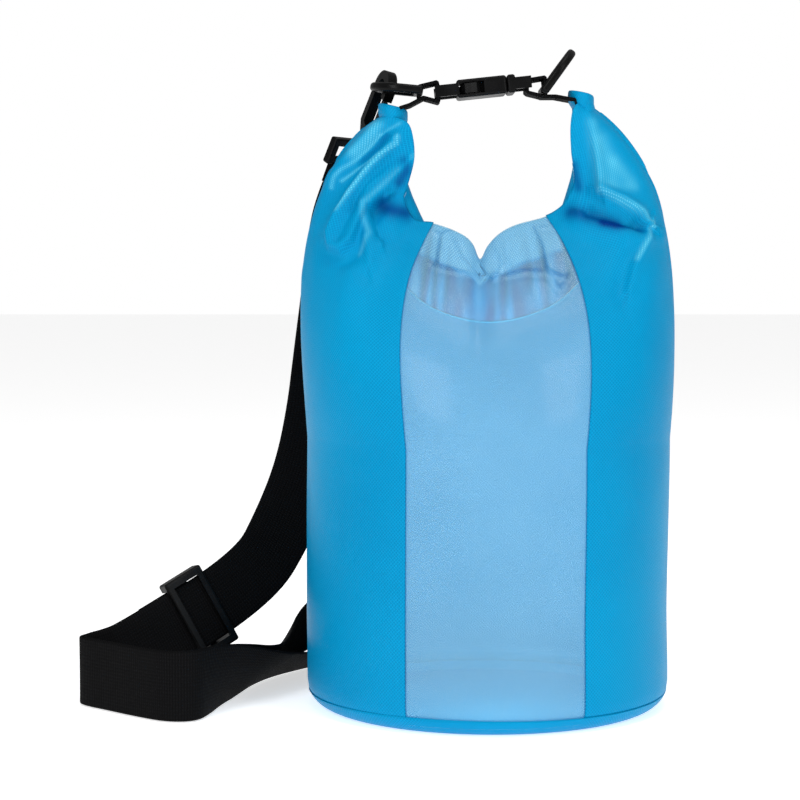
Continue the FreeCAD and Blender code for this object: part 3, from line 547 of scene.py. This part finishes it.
# Name, node, eye, half the gap between the loop's ends, and how low they reach.
EYE_LOOPS = (("strap_top_sewn", "strap_top_loop", UPPER_EYE, 0.9, -59.0),
             ("strap_low_sewn", "strap_low_loop", LOWER_EYE, 3.0, -54.0))
for name, node, (centre, eye_wide, eye_up), gap, low_end in EYE_LOOPS:
    path = ((-gap, low_end), (-EYE_HALF, EYE_LOW), (-EYE_HALF, EYE_HIGH),
            (EYE_HALF, EYE_HIGH), (EYE_HALF, EYE_LOW), (gap, low_end))
    webbing_loop(name, node, path, EYE_RADII, STRAP_WEB,
                 (centre, eye_wide, eye_up.cross(eye_wide), eye_up), "root")
SLIDER_LOOP = ((-29, -2.6), (4.6, -2.6), (4.6, -8.0), (-29, -8.0))
webbing_loop("strap_end_sewn", "strap_end_loop", SLIDER_LOOP, (2.6, 2.6), STRAP_WEB,
             (SLIDER_AT, SLIDER_WIDE, SLIDER_ALONG, SLIDER_FACE), "slider")

# ---- Bag: skin as columns from the base's seam to the ridge under the roll ----
BODY_R = 101.0
CORNER_R = 14.0
SKIN_T, FILM_T = 0.8, 0.4
SEAM_Z = 5.0
WALL_TOP = 150.0
FRONT_LEFT, FRONT_RIGHT = -0.305, 0.322     # window's edges, in shares of the half turn
FILM_LAP = 0.03
FILM_INSET = 0.85         # how far the film lies below the azure skin's outer face
LAP_SINK = 1.6            # how far the film's hidden edges lie below the azure skin
RIDGE_SINK = 0.5          # and its whole width at the ridge
RIDGE_ROWS = 13           # rows of skin over which sag and creases die out at the ridge
# Share of the half turn, then x, y and z of the mouth's ridge.
RIDGE = ((-1.0, -60, 0, 327.5), (-0.95, -57, -11, 327.5), (-0.88, -48, -15.5, 325),
         (-0.80, -43, -15.5, 320), (-0.72, -41, -15, 305), (-0.62, -44.7, -14, 289),
         (-0.52, -46.6, -14, 282), (-0.41, -41, -14, 271), (-0.305, -30.5, -14, 269),
         (-0.2, -20, -14, 265.5), (-0.13, -12.5, -14, 261.5), (-0.085, -8.5, -14, 257),
         (-0.05, -5, -14, 249.5), (-0.012, -1, -14, 256.5), (0.04, 5, -14, 263),
         (0.14, 14, -14, 268), (0.31, 30, -14, 272.5), (0.40, 37, -14, 276),
         (0.47, 42, -14, 281), (0.54, 46.4, -14, 291), (0.66, 44.8, -14, 308),
         (0.78, 44.4, -15, 321), (0.88, 46.0, -15.5, 331), (0.95, 50, -11, 334.5),
         (1.0, 57, 0, 333))
# The edge that the roll's lower side presses into the back panel.
PRESS = ((-1.0, -60, 0, 327.5), (-0.9, -64.5, -4, 318), (-0.8, -66.5, -10, 300),
         (-0.7, -66.7, -12, 282), (-0.6, -63, -12.5, 259), (-0.45, -52, -12.5, 240.5),
         (-0.25, -31, -12.5, 222), (0.0, 1, -12.5, 214.3), (0.25, 33, -12.5, 222.5),
         (0.45, 53, -12.5, 240), (0.6, 65, -12.5, 259), (0.7, 68.7, -12, 282),
         (0.8, 68, -10, 303), (0.9, 64, -4, 321), (1.0, 57, 0, 333))
# The two control points of the sides' outline between the wall and the roll.
SIDE_LEFT = ((-106.0, 0, 215), (-111.0, 0, 296))
SIDE_RIGHT = ((106.5, 0, 218), (110.0, 0, 296))
FIRST_UP = 64.0           # height of the first control point above the wall


def wall_point(s, z, back):
    """On the round wall and its base corner."""
    angle = math.pi * s / 2
    radius = BODY_R
    if z < CORNER_R:
        radius = BODY_R - CORNER_R + math.sqrt(max(0.0, CORNER_R ** 2 - (CORNER_R - z) ** 2))
    depth = math.cos(angle) * radius
    return Vector((math.sin(angle) * radius, depth if back else -depth, z))


def shoulder_controls(s, back):
    """Control points of the column's upper part, for both panels."""
    angle = math.pi * s / 2
    side = abs(math.sin(angle))
    middle = math.cos(angle)
    start = wall_point(s, WALL_TOP, back)
    edge_low, edge_high = SIDE_LEFT if s < 0 else SIDE_RIGHT
    first = (start + Vector((0, 0, FIRST_UP))).lerp(Vector(edge_low), side ** 3)
    first.y = start.y
    if back:
        end = smooth_table(PRESS, s)
        second = end + Vector((38 * math.sin(angle), 52 * middle, 6 - 20 * side))
    else:
        end = smooth_table(RIDGE, s)
        second = end + Vector((40 * math.sin(angle), -46 * middle, -26 - 14 * side))
    return start, first, second.lerp(Vector(edge_high), side ** 6), end


WALL_ROWS, SHOULDER_ROWS = 30, 120
COLUMNS = 120             # on each panel
PAINTED_LIGHT_FROM = 215.0      # no painted highlight or painted shade below this height
TINY = 1e-6


def column(s, back):
    """Skin points from the base's seam upwards."""
    found = []
    for row in range(WALL_ROWS):
        z = SEAM_Z + (WALL_TOP - SEAM_Z) * row / WALL_ROWS
        found.append(wall_point(s, z, back))
    controls = shoulder_controls(s, back)
    for row in range(SHOULDER_ROWS + 1):
        found.append(bezier(*controls, row / SHOULDER_ROWS))
    return found


# Creases on the front, as lines of x and z, with a height and a half width.
CREASES = (
    (((-50, 318), (-58, 308), (-68, 297), (-77, 285), (-84, 272), (-87, 262), (-86, 256),
      (-81, 254), (-76, 259), (-72, 270), (-68, 278), (-56, 283)), 4.6, 4.2),
    (((-44, 306), (-57, 296), (-66, 288), (-71, 279)), 2.6, 3.6),
    (((-62, 324), (-76, 309), (-88, 293)), 2.2, 4.0),
    (((-54, 286), (-57, 284), (-63, 275), (-60, 262)), -2.6, 4.6),
    (((-66, 276), (-68, 262), (-66, 246)), 1.8, 4.0),
    (((53, 330), (57, 312), (60, 292), (61, 286)), 3.0, 3.4),
    (((61, 286), (74, 280), (84, 273), (88, 268)), 3.6, 3.2),
    (((88, 268), (84, 258), (77, 246), (73, 232)), 2.2, 3.6),
    (((54, 274), (62, 272), (76, 269), (88, 267)), -4.2, 5.0),
    (((51, 297), (54, 287), (52, 280)), -1.6, 3.6))
# Fine creases in the film under the ridge.
FILM_CREASES = (
    (((-36, 267), (-27, 263), (-30, 246)), 1.5, 1.3),
    (((-27, 263), (-19, 266)), 1.2, 1.2),
    (((-31, 246), (-20, 243), (-5, 239)), 1.6, 1.4),
    (((-18, 262), (-13, 251), (-5, 240)), -1.2, 1.6),
    (((-9, 258), (-5, 246), (0, 238)), 1.6, 1.2),
    (((1, 240), (16, 243), (29, 242), (37, 240)), 1.6, 1.4),
    (((24, 266), (28, 255), (29, 244)), 1.3, 1.2),
    (((28, 266), (42, 267)), 1.2, 1.2),
    (((4, 258), (9, 247), (3, 240)), -1.3, 1.5),
    (((29, 244), (36, 234), (41, 241)), 1.2, 1.3))


# Painted highlight along raised creases (above 0) and painted shade in deep folds (below 0), as
# lines of x and z, strength and half width.
PAINTED_LIGHT_LINES = (
    (((-62.2, 322), (-66, 314), (-70.5, 310), (-74, 307)), 0.75, 3.6),
    (((-60, 317), (-66, 310), (-73, 303.5), (-80.5, 298), (-84.4, 294), (-87, 288)), 0.65, 0.9),
    (((-49, 323), (-55, 320), (-60, 317)), 0.5, 0.9),
    (((-60.5, 307), (-66, 302), (-73, 298), (-81.6, 292)), 0.75, 0.8),
    (((-50.5, 316), (-51, 312.5), (-58, 307), (-64, 301), (-69.5, 294.5), (-75, 287),
      (-79.5, 281), (-83, 275)), 1.0, 1.2),
    (((-41, 306), (-59, 289), (-69, 278), (-69.6, 272.5), (-66, 263), (-71, 253)), 0.5, 1.4),
    (((-57, 316), (-64, 308), (-70, 303)), -0.45, 2.6),
    (((-46, 302), (-45.5, 297), (-49.5, 291)), -0.7, 3.2),
    (((-58, 279), (-52, 275.5), (-46, 274)), -0.8, 4.6),
    (((56, 323), (58.5, 306), (60.5, 293)), 0.5, 3.2),
    (((61, 314), (66, 301), (67, 292)), 0.5, 4.2),
    (((68, 302), (77, 291)), 0.5, 3.6),
    (((60, 289), (80, 288)), 0.3, 2.4),
    (((59, 286), (74, 279), (85, 273.5), (90, 268.5), (78, 248.5)), 0.9, 1.1),
    (((45, 274), (58, 271), (68, 268.5)), -0.75, 4.6),
    (((62, 268.5), (84, 266)), -0.7, 2.6),
    (((46, 300), (49, 288)), -0.6, 3.0))


def painted_light_at(x, z, lines):
    """How much painted highlight (above 0) or painted shade (below 0) the skin gets at a place seen
    from the front.
    """
    total = 0.0
    for line, strength, width in lines:
        best = min(segment_distance(x, z, a, b)[0] for a, b in zip(line, line[1:]))
        if best < 3 * width:
            total += strength * math.exp(-(best / width) ** 2)
    return max(-1.0, min(1.0, total))


def segment_distance(x, z, a, b):
    ax, az = a
    dx, dz = b[0] - ax, b[1] - az
    t = min(1.0, max(0.0, ((x - ax) * dx + (z - az) * dz) / (dx * dx + dz * dz)))
    off_x, off_z = x - ax - dx * t, z - az - dz * t
    sign = 1 if off_x * dz - off_z * dx > 0 else -1
    return math.hypot(off_x, off_z), sign


def crease_height(x, z, creases):
    """Each crease is steep on one side, with a valley beside it, and shallow on the other."""
    total = 0.0
    for line, height, width in creases:
        best, side = min((segment_distance(x, z, a, b) for a, b in zip(line, line[1:])),
                         key=lambda found: found[0])
        if best < 4 * width:
            ridge = math.exp(-(best / (width * (0.45 if side > 0 else 1.1))) ** 2)
            valley = math.exp(-((best - 1.5 * width) / width) ** 2) if side > 0 else 0.0
            total += height * (ridge - 0.45 * valley)
    return total


def film_share(s):
    """1 well inside the window, 0 at its edges."""
    return ease(FRONT_LEFT, FRONT_LEFT + 0.05, s) * (1 - ease(FRONT_RIGHT - 0.05, FRONT_RIGHT, s))


def skin_offset(s, point, back, film_too):
    """Sag and creases, in millimetres along the surface's normal."""
    wobble = noise.noise(Vector((point.x * 0.012, point.y * 0.012, point.z * 0.010)))
    offset = 1.3 * wobble * ease(12, 60, point.z)
    high = ease(205, 255, point.z) * (1 - ease(0.93, 1.0, abs(s)))
    small = noise.noise(Vector((point.x * 0.045 + 7, point.y * 0.03, point.z * 0.035)))
    offset += 2.2 * high * small * (1 - ease(300, 330, point.z))
    if not back:
        offset += crease_height(point.x, point.z, CREASES) * (1 - ease(0.88, 1.0, abs(s)))
        if film_too:
            offset += crease_height(point.x, point.z, FILM_CREASES) * film_share(s)
    return offset


def column_shares(edges, count):
    """Shares from -1 to 1, evenly spread between the given edges."""
    found = []
    for a, b in zip(edges, edges[1:]):
        steps = max(2, round(count * (b - a) / 2))
        found += [a + (b - a) * i / steps for i in range(steps)]
    return found + [edges[-1]]


def surface_normal(columns, i, row, back):
    """Outward normal at a row of a column, from the points around it."""
    points = columns[i]
    left = columns[max(i - 1, 0)][row]
    right = columns[min(i + 1, len(columns) - 1)][row]
    above = points[min(row + 1, len(points) - 1)]
    below = points[max(row - 1, 0)]
    normal = (right - left).cross(above - below)
    normal = normal.normalized() if normal.length > TINY else Vector((0, -1, 0))
    return -normal if back else normal


def painted_light_number(s, point, back, film_too):
    """Painted light: above 0 for painted highlight on the skin's raised creases and for painted
    shade along the film's creases, below 0 for painted shade in the skin's deep folds.
    """
    if back or point.z < PAINTED_LIGHT_FROM:
        return 0.0
    if film_too:
        return crease_height(point.x, point.z, FILM_CREASES) * film_share(s)
    return painted_light_at(point.x, point.z, PAINTED_LIGHT_LINES)


def film_sink(s, fade):
    """How far the film lies below the azure skin's outer face: more at its hidden edges."""
    beyond = max(FRONT_LEFT - s, s - FRONT_RIGHT)
    return LAP_SINK * ease(-0.2 * FILM_LAP, 0.8 * FILM_LAP, beyond) + FILM_INSET * fade


def panel_grid(shares, back, film_too):
    """Displaced points, their cloth coordinates and painted light numbers, column by column."""
    columns = [column(s, back) for s in shares]
    grid = []
    for i, (s, points) in enumerate(zip(shares, columns)):
        moved = []
        travelled = 0.0
        for row, point in enumerate(points):
            if row:
                travelled += (point - points[row - 1]).length
            # Sag and creases die out at the ridge and at the base's seam.
            fade = 1 - ease(len(points) - RIDGE_ROWS, len(points) - 1, row) if row else 0.0
            offset = skin_offset(s, point, back, film_too) * fade
            if film_too:
                offset -= film_sink(s, fade)
            place = point + surface_normal(columns, i, row, back) * offset
            if film_too:
                place.z -= RIDGE_SINK * (1 - fade)
            moved.append((place, (s * math.pi / 2 * BODY_R, SEAM_Z + travelled),
                          painted_light_number(s, point, back, film_too)))
        grid.append(moved)
    return grid


def grid_faces(columns, rows, offset, flip):
    faces = []
    for i in range(columns - 1):
        for row in range(rows - 1):
            a = offset + i * rows + row
            face = (a, a + rows, a + rows + 1, a + 1)
            faces.append(face[::-1] if flip else face)
    return faces


def merge_close(piece, distance):
    """Joins points closer than a distance, so that a closed form has no seam."""
    weld = piece.modifiers.new("weld", "WELD")
    weld.merge_threshold = distance * MM
    apply_modifiers(piece)


def panel_piece(name, parts, material, thickness, film_too):
    """One piece from strips of front or back panel: parts are (shares, back)."""
    points, faces, uvs, painted_light_numbers = [], [], [], []
    for shares, back in parts:
        grid = panel_grid(shares, back, film_too)
        faces += grid_faces(len(grid), len(grid[0]), len(points), back)
        for moved in grid:
            for point, uv, tone_and_painted_light in moved:
                points.append(point)
                uvs.append(uv)
                painted_light_numbers.append(tone_and_painted_light)
    piece = make_mesh(name, points, faces, uvs, "root", material, painted_light_numbers)
    merge_close(piece, 0.05)
    thicken(piece, thickness)
    return piece


all_shares = column_shares((-1.0, FRONT_LEFT - FILM_LAP, FRONT_LEFT, 0.0, FRONT_RIGHT,
                            FRONT_RIGHT + FILM_LAP, 1.0), COLUMNS * 2)
left_front = [s for s in all_shares if s <= FRONT_LEFT + TINY]
right_front = [s for s in all_shares if s >= FRONT_RIGHT - TINY]
middle_front = [s for s in all_shares
                if FRONT_LEFT - FILM_LAP - TINY <= s <= FRONT_RIGHT + FILM_LAP + TINY]
tube = panel_piece("tube_skin", ((left_front, False), (right_front, False), (all_shares, True)),
                   fabric, SKIN_T, False)
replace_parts(tube, "tube_wall")
finer_front = sorted(middle_front + [(a + b) / 2 for a, b in zip(middle_front, middle_front[1:])])
window = panel_piece("window_film", ((finer_front, False),), film, FILM_T, True)
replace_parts(window, "window_panel")


BACK_ROWS = 36
BACK_LEFT, BACK_RIGHT = -0.6, 0.62
PLEATS = 62               # how close the pleats lie: 2 pi times their number in a share of 1
BACK_T = 0.7


def back_web():
    """The back panel goes on from the roll's lower edge up behind the film to the ridge."""
    points, uvs, painted_light_numbers = [], [], []
    shares = [s for s in all_shares if BACK_LEFT <= s <= BACK_RIGHT]
    for s in shares:
        middle_share = 1 - ease(0.34, 0.5, abs(s))
        low = smooth_table(PRESS, s)
        high = smooth_table(RIDGE, s) - Vector((0, 0, 0.9))
        pleat = math.sin(s * PLEATS + 5 * noise.noise(Vector((s * 8, 3.1, 0.4))))
        for row in range(BACK_ROWS):
            t = row / (BACK_ROWS - 1)
            point = low.lerp(high, t)
            swell = math.sin(math.pi * t)
            uneven = noise.noise(Vector((point.x * 0.09, 5.0, point.z * 0.05)))
            puff = -3.0 + 2.4 * (pleat + uneven) * (1 - 0.6 * t)
            point.y += puff * swell * middle_share + 0.6
            points.append(point)
            uvs.append((s * math.pi / 2 * BODY_R, 300 + t * (high - low).length))
            # Painted shade in the pleats below the weld line, with paler streaks of painted
            # highlight, and painted highlight on the upper part above it.
            streak = noise.noise(Vector((point.x * 0.16, 2.0, point.z * 0.05)))
            weld = 0.58 + 0.08 * noise.noise(Vector((s * 9, 1.0, 2.0)))
            folded = -0.55 + 0.5 * pleat * (1 - t) + 0.9 * streak
            upper = ease(weld - 0.06, weld + 0.03, t)
            painted_light_numbers.append(max(-1.0, min(1.0, folded * (1 - upper) + 0.85 * upper)))
    faces = grid_faces(len(shares), BACK_ROWS, 0, False)
    piece = make_mesh("folded_back_panel", points, faces, uvs, "root",
                      inner_fabric, painted_light_numbers)
    thicken(piece, BACK_T)


back_web()


# ---- Base: the round bottom and its turned-up rim ----
RIM_DEGREES = 69.0        # how far the rim follows the base's rounded corner
RIM_OUT = 0.1             # how far its middle stands outside the tube
RIM_STEPS = 12
BASE_T = 0.4
BASE_AROUND = 160
DISC = ((0.0, 0.7), (30.0, 0.6), (60.0, 0.5), (80.0, 0.4))     # radius and height


def base_cup():
    points, faces, uvs = [], [], []
    around = BASE_AROUND
    profile = list(DISC)
    for step in range(RIM_STEPS + 1):
        degrees = RIM_DEGREES * step / RIM_STEPS
        bend = CORNER_R + RIM_OUT * ease(20, 45, degrees)
        angle = math.radians(degrees)
        profile.append((BODY_R - CORNER_R + bend * math.sin(angle),
                        max(DISC[-1][1], CORNER_R - bend * math.cos(angle))))
    travelled = 0.0
    for ring, (radius, z) in enumerate(profile):
        if ring:
            last = profile[ring - 1]
            travelled += math.hypot(radius - last[0], z - last[1])
        for k in range(around):
            angle = 2 * math.pi * k / around
            wave_z = 0.5 * math.sin(angle * 3 + 1) if ring == len(profile) - 1 else 0
            points.append(Vector((radius * math.cos(angle), radius * math.sin(angle),
                                  z + wave_z)))
            uvs.append((angle * BODY_R, travelled))
    for ring in range(len(profile) - 1):
        for k in range(around):
            m = (k + 1) % around
            a, b = ring * around, (ring + 1) * around
            faces.append((a + k, b + k, b + m, a + m))
    piece = make_mesh("base_cup", points, faces, uvs, "root", fabric)
    merge_close(piece, 0.02)
    thicken(piece, BASE_T, offset=0.0)
    return piece


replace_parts(base_cup(), "base_panel")

# ---- Rolled mouth: a spiral of fabric swept along a U ----
ROLL_X, ROLL_Z = 1.0, 282.0
ROLL_FRONT = -13.0         # Y of the roll's front face
ROLL_TURNS = 2.6
ROLL_STEPS, TURN_STEPS = 96, 26
ROLL_T = 0.5
LAYER_PITCH = 3.6         # cloth along the spiral for each step round it
# The upright ends: x and z of the middle, half height and half depth.
ROLL_ENDS_LEFT = ((-52.5, 331, 5.4, 13.0), (-53, 315, 7.4, 12.4), (-55.5, 299, 9.0, 11.6))
ROLL_ENDS_RIGHT = ((55.5, 299, 9.6, 11.6), (54, 318, 8.2, 12.4), (51.5, 338, 5.6, 13.0))
# Angle along the U, inner radius and outer radius.
ROLL_RADII = ((200, 38, 67), (216, 34, 67), (233, 29, 67.2), (250, 29, 67.2), (262, 33, 67.2),
              (276, 30, 67.2), (290, 26, 67.2), (310, 27, 67.2), (327, 32, 67), (342, 37, 67))


def roll_stations():
    """Rows of number, middle, outward direction, half height and half depth along the U."""
    found = []
    for x, z, high, deep in ROLL_ENDS_LEFT:
        found.append((Vector((x, ROLL_FRONT + deep, z)), Vector((-1, 0, -0.05)), high, deep))
    for degrees, inner, outer in ROLL_RADII:
        a = math.radians(degrees)
        share = abs(degrees - 270) / 90
        deep = 8.0 + 3.0 * share ** 2
        middle = (inner + outer) / 2
        found.append((Vector((ROLL_X + middle * math.cos(a), ROLL_FRONT + deep,
                              ROLL_Z + middle * math.sin(a))),
                      Vector((math.cos(a), 0, math.sin(a))), (outer - inner) / 2, deep))
    for x, z, high, deep in ROLL_ENDS_RIGHT:
        found.append((Vector((x, ROLL_FRONT + deep, z)), Vector((1, 0, 0)), high, deep))
    return [(i, *middle, *out, high, deep) for i, (middle, out, high, deep) in enumerate(found)]


def rolled_mouth():
    rows = roll_stations()
    points, uvs = [], []
    count = int(ROLL_TURNS * TURN_STEPS) + 1
    travelled = 0.0
    before = None
    for i in range(ROLL_STEPS + 1):
        values = smooth_table(rows, i / ROLL_STEPS * (len(rows) - 1))
        middle, out = Vector(values[0:3]), Vector(values[3:6]).normalized()
        high, deep = values[6], values[7]
        if before is not None:
            travelled += (middle - before).length
        before = middle
        for k in range(count):
            turns = k / TURN_STEPS
            size = 0.62 + 0.38 * k / (count - 1)
            angle = math.pi * 0.5 + 2 * math.pi * (turns - ROLL_TURNS) - 0.6
            crumple = noise.noise(Vector((middle.x * 0.07, angle * 1.2, middle.z * 0.07)))
            grow = size * (1 + 0.06 * crumple)
            flat = abs(math.cos(angle)) ** 0.8 * (1 if math.cos(angle) > 0 else -1)
            points.append(middle + out * (high * grow * flat)
                          + Vector((0, deep * grow * math.sin(angle), 0)))
            uvs.append((travelled, k * LAYER_PITCH))
    faces = grid_faces(ROLL_STEPS + 1, count, 0, True)
    piece = make_mesh("rolled_mouth", points, faces, uvs, "root", fabric)
    thicken(piece, ROLL_T, offset=0.0)
    return piece


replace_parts(rolled_mouth(), "mouth_roll")


# ---- Cuffs where the roll's ends come out ----
# Name, middle, half width and half depth, height and lean of each.
CUFFS = (("left_cuff", (-52.8, 0.0, 325.4), (7.8, 14.0), 7.4, -0.25),
         ("right_cuff", (51.2, 0.0, 333.2), (6.8, 13.6), 7.0, -0.22))


CUFF_AROUND = 56
# Outwards in millimetres, and up in shares of the height.
CUFF_PROFILE = ((-4.0, -0.8), (-1.8, -0.35), (0.0, 0.0), (0.4, 0.3), (0.4, 0.6), (0.3, 0.85),
                (-0.1, 0.97), (-0.7, 1.0), (-1.4, 0.93), (-1.8, 0.7), (-2.2, 0.0))


def cuff(name, at, halves, tall, lean):
    """A flattened sleeve with a turned-over lip."""
    points, uvs = [], []
    for out, up in CUFF_PROFILE:
        for k in range(CUFF_AROUND + 1):
            angle = 2 * math.pi * k / CUFF_AROUND
            rough = 0.25 * noise.noise(Vector((math.cos(angle) * 1.5, math.sin(angle) * 1.5, up)))
            x = (halves[0] + out + rough) * math.cos(angle)
            y = (halves[1] + out + rough) * math.sin(angle)
            points.append(Vector((at[0] + x, at[1] + y,
                                  at[2] + up * tall + lean * x + rough)))
            uvs.append((angle * 12, up * tall))
    faces = grid_faces(len(CUFF_PROFILE), CUFF_AROUND + 1, 0, True)
    merge_close(make_mesh(name, points, faces, uvs, "root", fabric), 0.02)


for settings in CUFFS:
    cuff(*settings)

# ---- Lower ring's patch ----
PATCH_X, PATCH_W = -10.0, 54.0
PATCH_LOW, PATCH_HIGH = 72.0, 118.0
PATCH_ACROSS, PATCH_TALL = 24, 20
PATCH_POWER = 8           # of the superellipse that rounds its corners
PATCH_OUT, PATCH_EDGE = 1.5, 0.9
PATCH_T = 0.9


def wall_patch():
    """A welded patch with round corners on the back of the wall, thinner at its edge."""
    points, uvs = [], []
    for i in range(PATCH_ACROSS + 1):
        for k in range(PATCH_TALL + 1):
            a, b = 2 * i / PATCH_ACROSS - 1, 2 * k / PATCH_TALL - 1
            round_off = (abs(a) ** PATCH_POWER + abs(b) ** PATCH_POWER) ** (1 / PATCH_POWER)
            grip = 1 / max(1.0, round_off)
            x = PATCH_X + a * grip * PATCH_W / 2
            z = (PATCH_LOW + PATCH_HIGH) / 2 + b * grip * (PATCH_HIGH - PATCH_LOW) / 2
            edge = max(abs(a), abs(b))
            radius = BODY_R + PATCH_OUT - PATCH_EDGE * ease(0.86, 1.0, edge)
            points.append(Vector((x, math.sqrt(radius ** 2 - x * x), z)))
            uvs.append((x, z))
    faces = grid_faces(PATCH_ACROSS + 1, PATCH_TALL + 1, 0, True)
    piece = make_mesh("ring_patch_welded", points, faces, uvs, "root", fabric)
    thicken(piece, PATCH_T)
    return piece


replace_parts(wall_patch(), "ring_patch")

# ---- CAD pieces that keep their shape ----
FINISHES = (
    (plastic, ("buckle_socket", "buckle_plug", "latch_arm_front", "latch_arm_back", "ring_left",
               "ring_right", "ring_lower", "hook_upper", "hook_lower", "eye_upper", "eye_lower",
               "strap_slider")),
    (gate_plastic, ("gate_upper", "gate_lower")),
    (strip_plastic, ("mouth_stiffener",)))
for material, names in FINISHES:
    for name in names:
        nodes[name].data.materials.clear()
        nodes[name].data.materials.append(material)

# ---- Floor and light ----
bpy.ops.mesh.primitive_plane_add(size=12.0, location=(0, 0, 0))
floor = bpy.context.object
floor.name = "studio_floor"
floor_look = new_material("studio_white", (0.94, 0.94, 0.94), 0.7,
                          Emission_Color=(1.0, 1.0, 1.0, 1.0), Emission_Strength=0.6,
                          Specular_IOR_Level=0.1)
floor.data.materials.append(floor_look[0])

world = bpy.data.worlds.new("studio")
scene.world = world
world.use_nodes = True
world_tree = world.node_tree
background = world_tree.nodes["Background"]
background.inputs["Color"].default_value = (1.0, 1.0, 1.0, 1.0)
STUDIO_GLOW, BACKDROP = 0.34, 1.0     # how bright it lights, and how bright it looks
seen = add(world_tree, "ShaderNodeLightPath")
world_tree.links.new(map_range(world_tree, seen.outputs["Is Camera Ray"], 0, 1, STUDIO_GLOW,
                               BACKDROP), background.inputs["Strength"])


def soft_light(name, at, target, size, power):
    """Place and size in metres, power in watts."""
    data = bpy.data.lights.new(name, "AREA")
    data.shape = "RECTANGLE"
    data.size, data.size_y = size
    data.energy = power
    lamp = bpy.data.objects.new(name, data)
    scene.collection.objects.link(lamp)
    lamp.location = at
    lamp.rotation_euler = (Vector(target) - Vector(at)).to_track_quat("-Z", "Y").to_euler()
    return lamp


soft_light("left", (-0.9, -1.4, 0.9), (0, 0, 0.2), (0.6, 1.1), 12.5)
soft_light("right", (1.1, -1.3, 0.9), (0, 0, 0.2), (0.5, 1.1), 9.5)
soft_light("top", (0.2, -0.3, 1.8), (0, 0, 0.2), (1.2, 0.8), 9.0)
# Stands for daylight that comes into the bag through the film.
inside = soft_light("inside", (0.0, -0.078, 0.12), (0, 0.1, 0.1), (0.07, 0.16), 0.22)
inside.visible_camera = False

scene.view_settings.view_transform = "Standard"
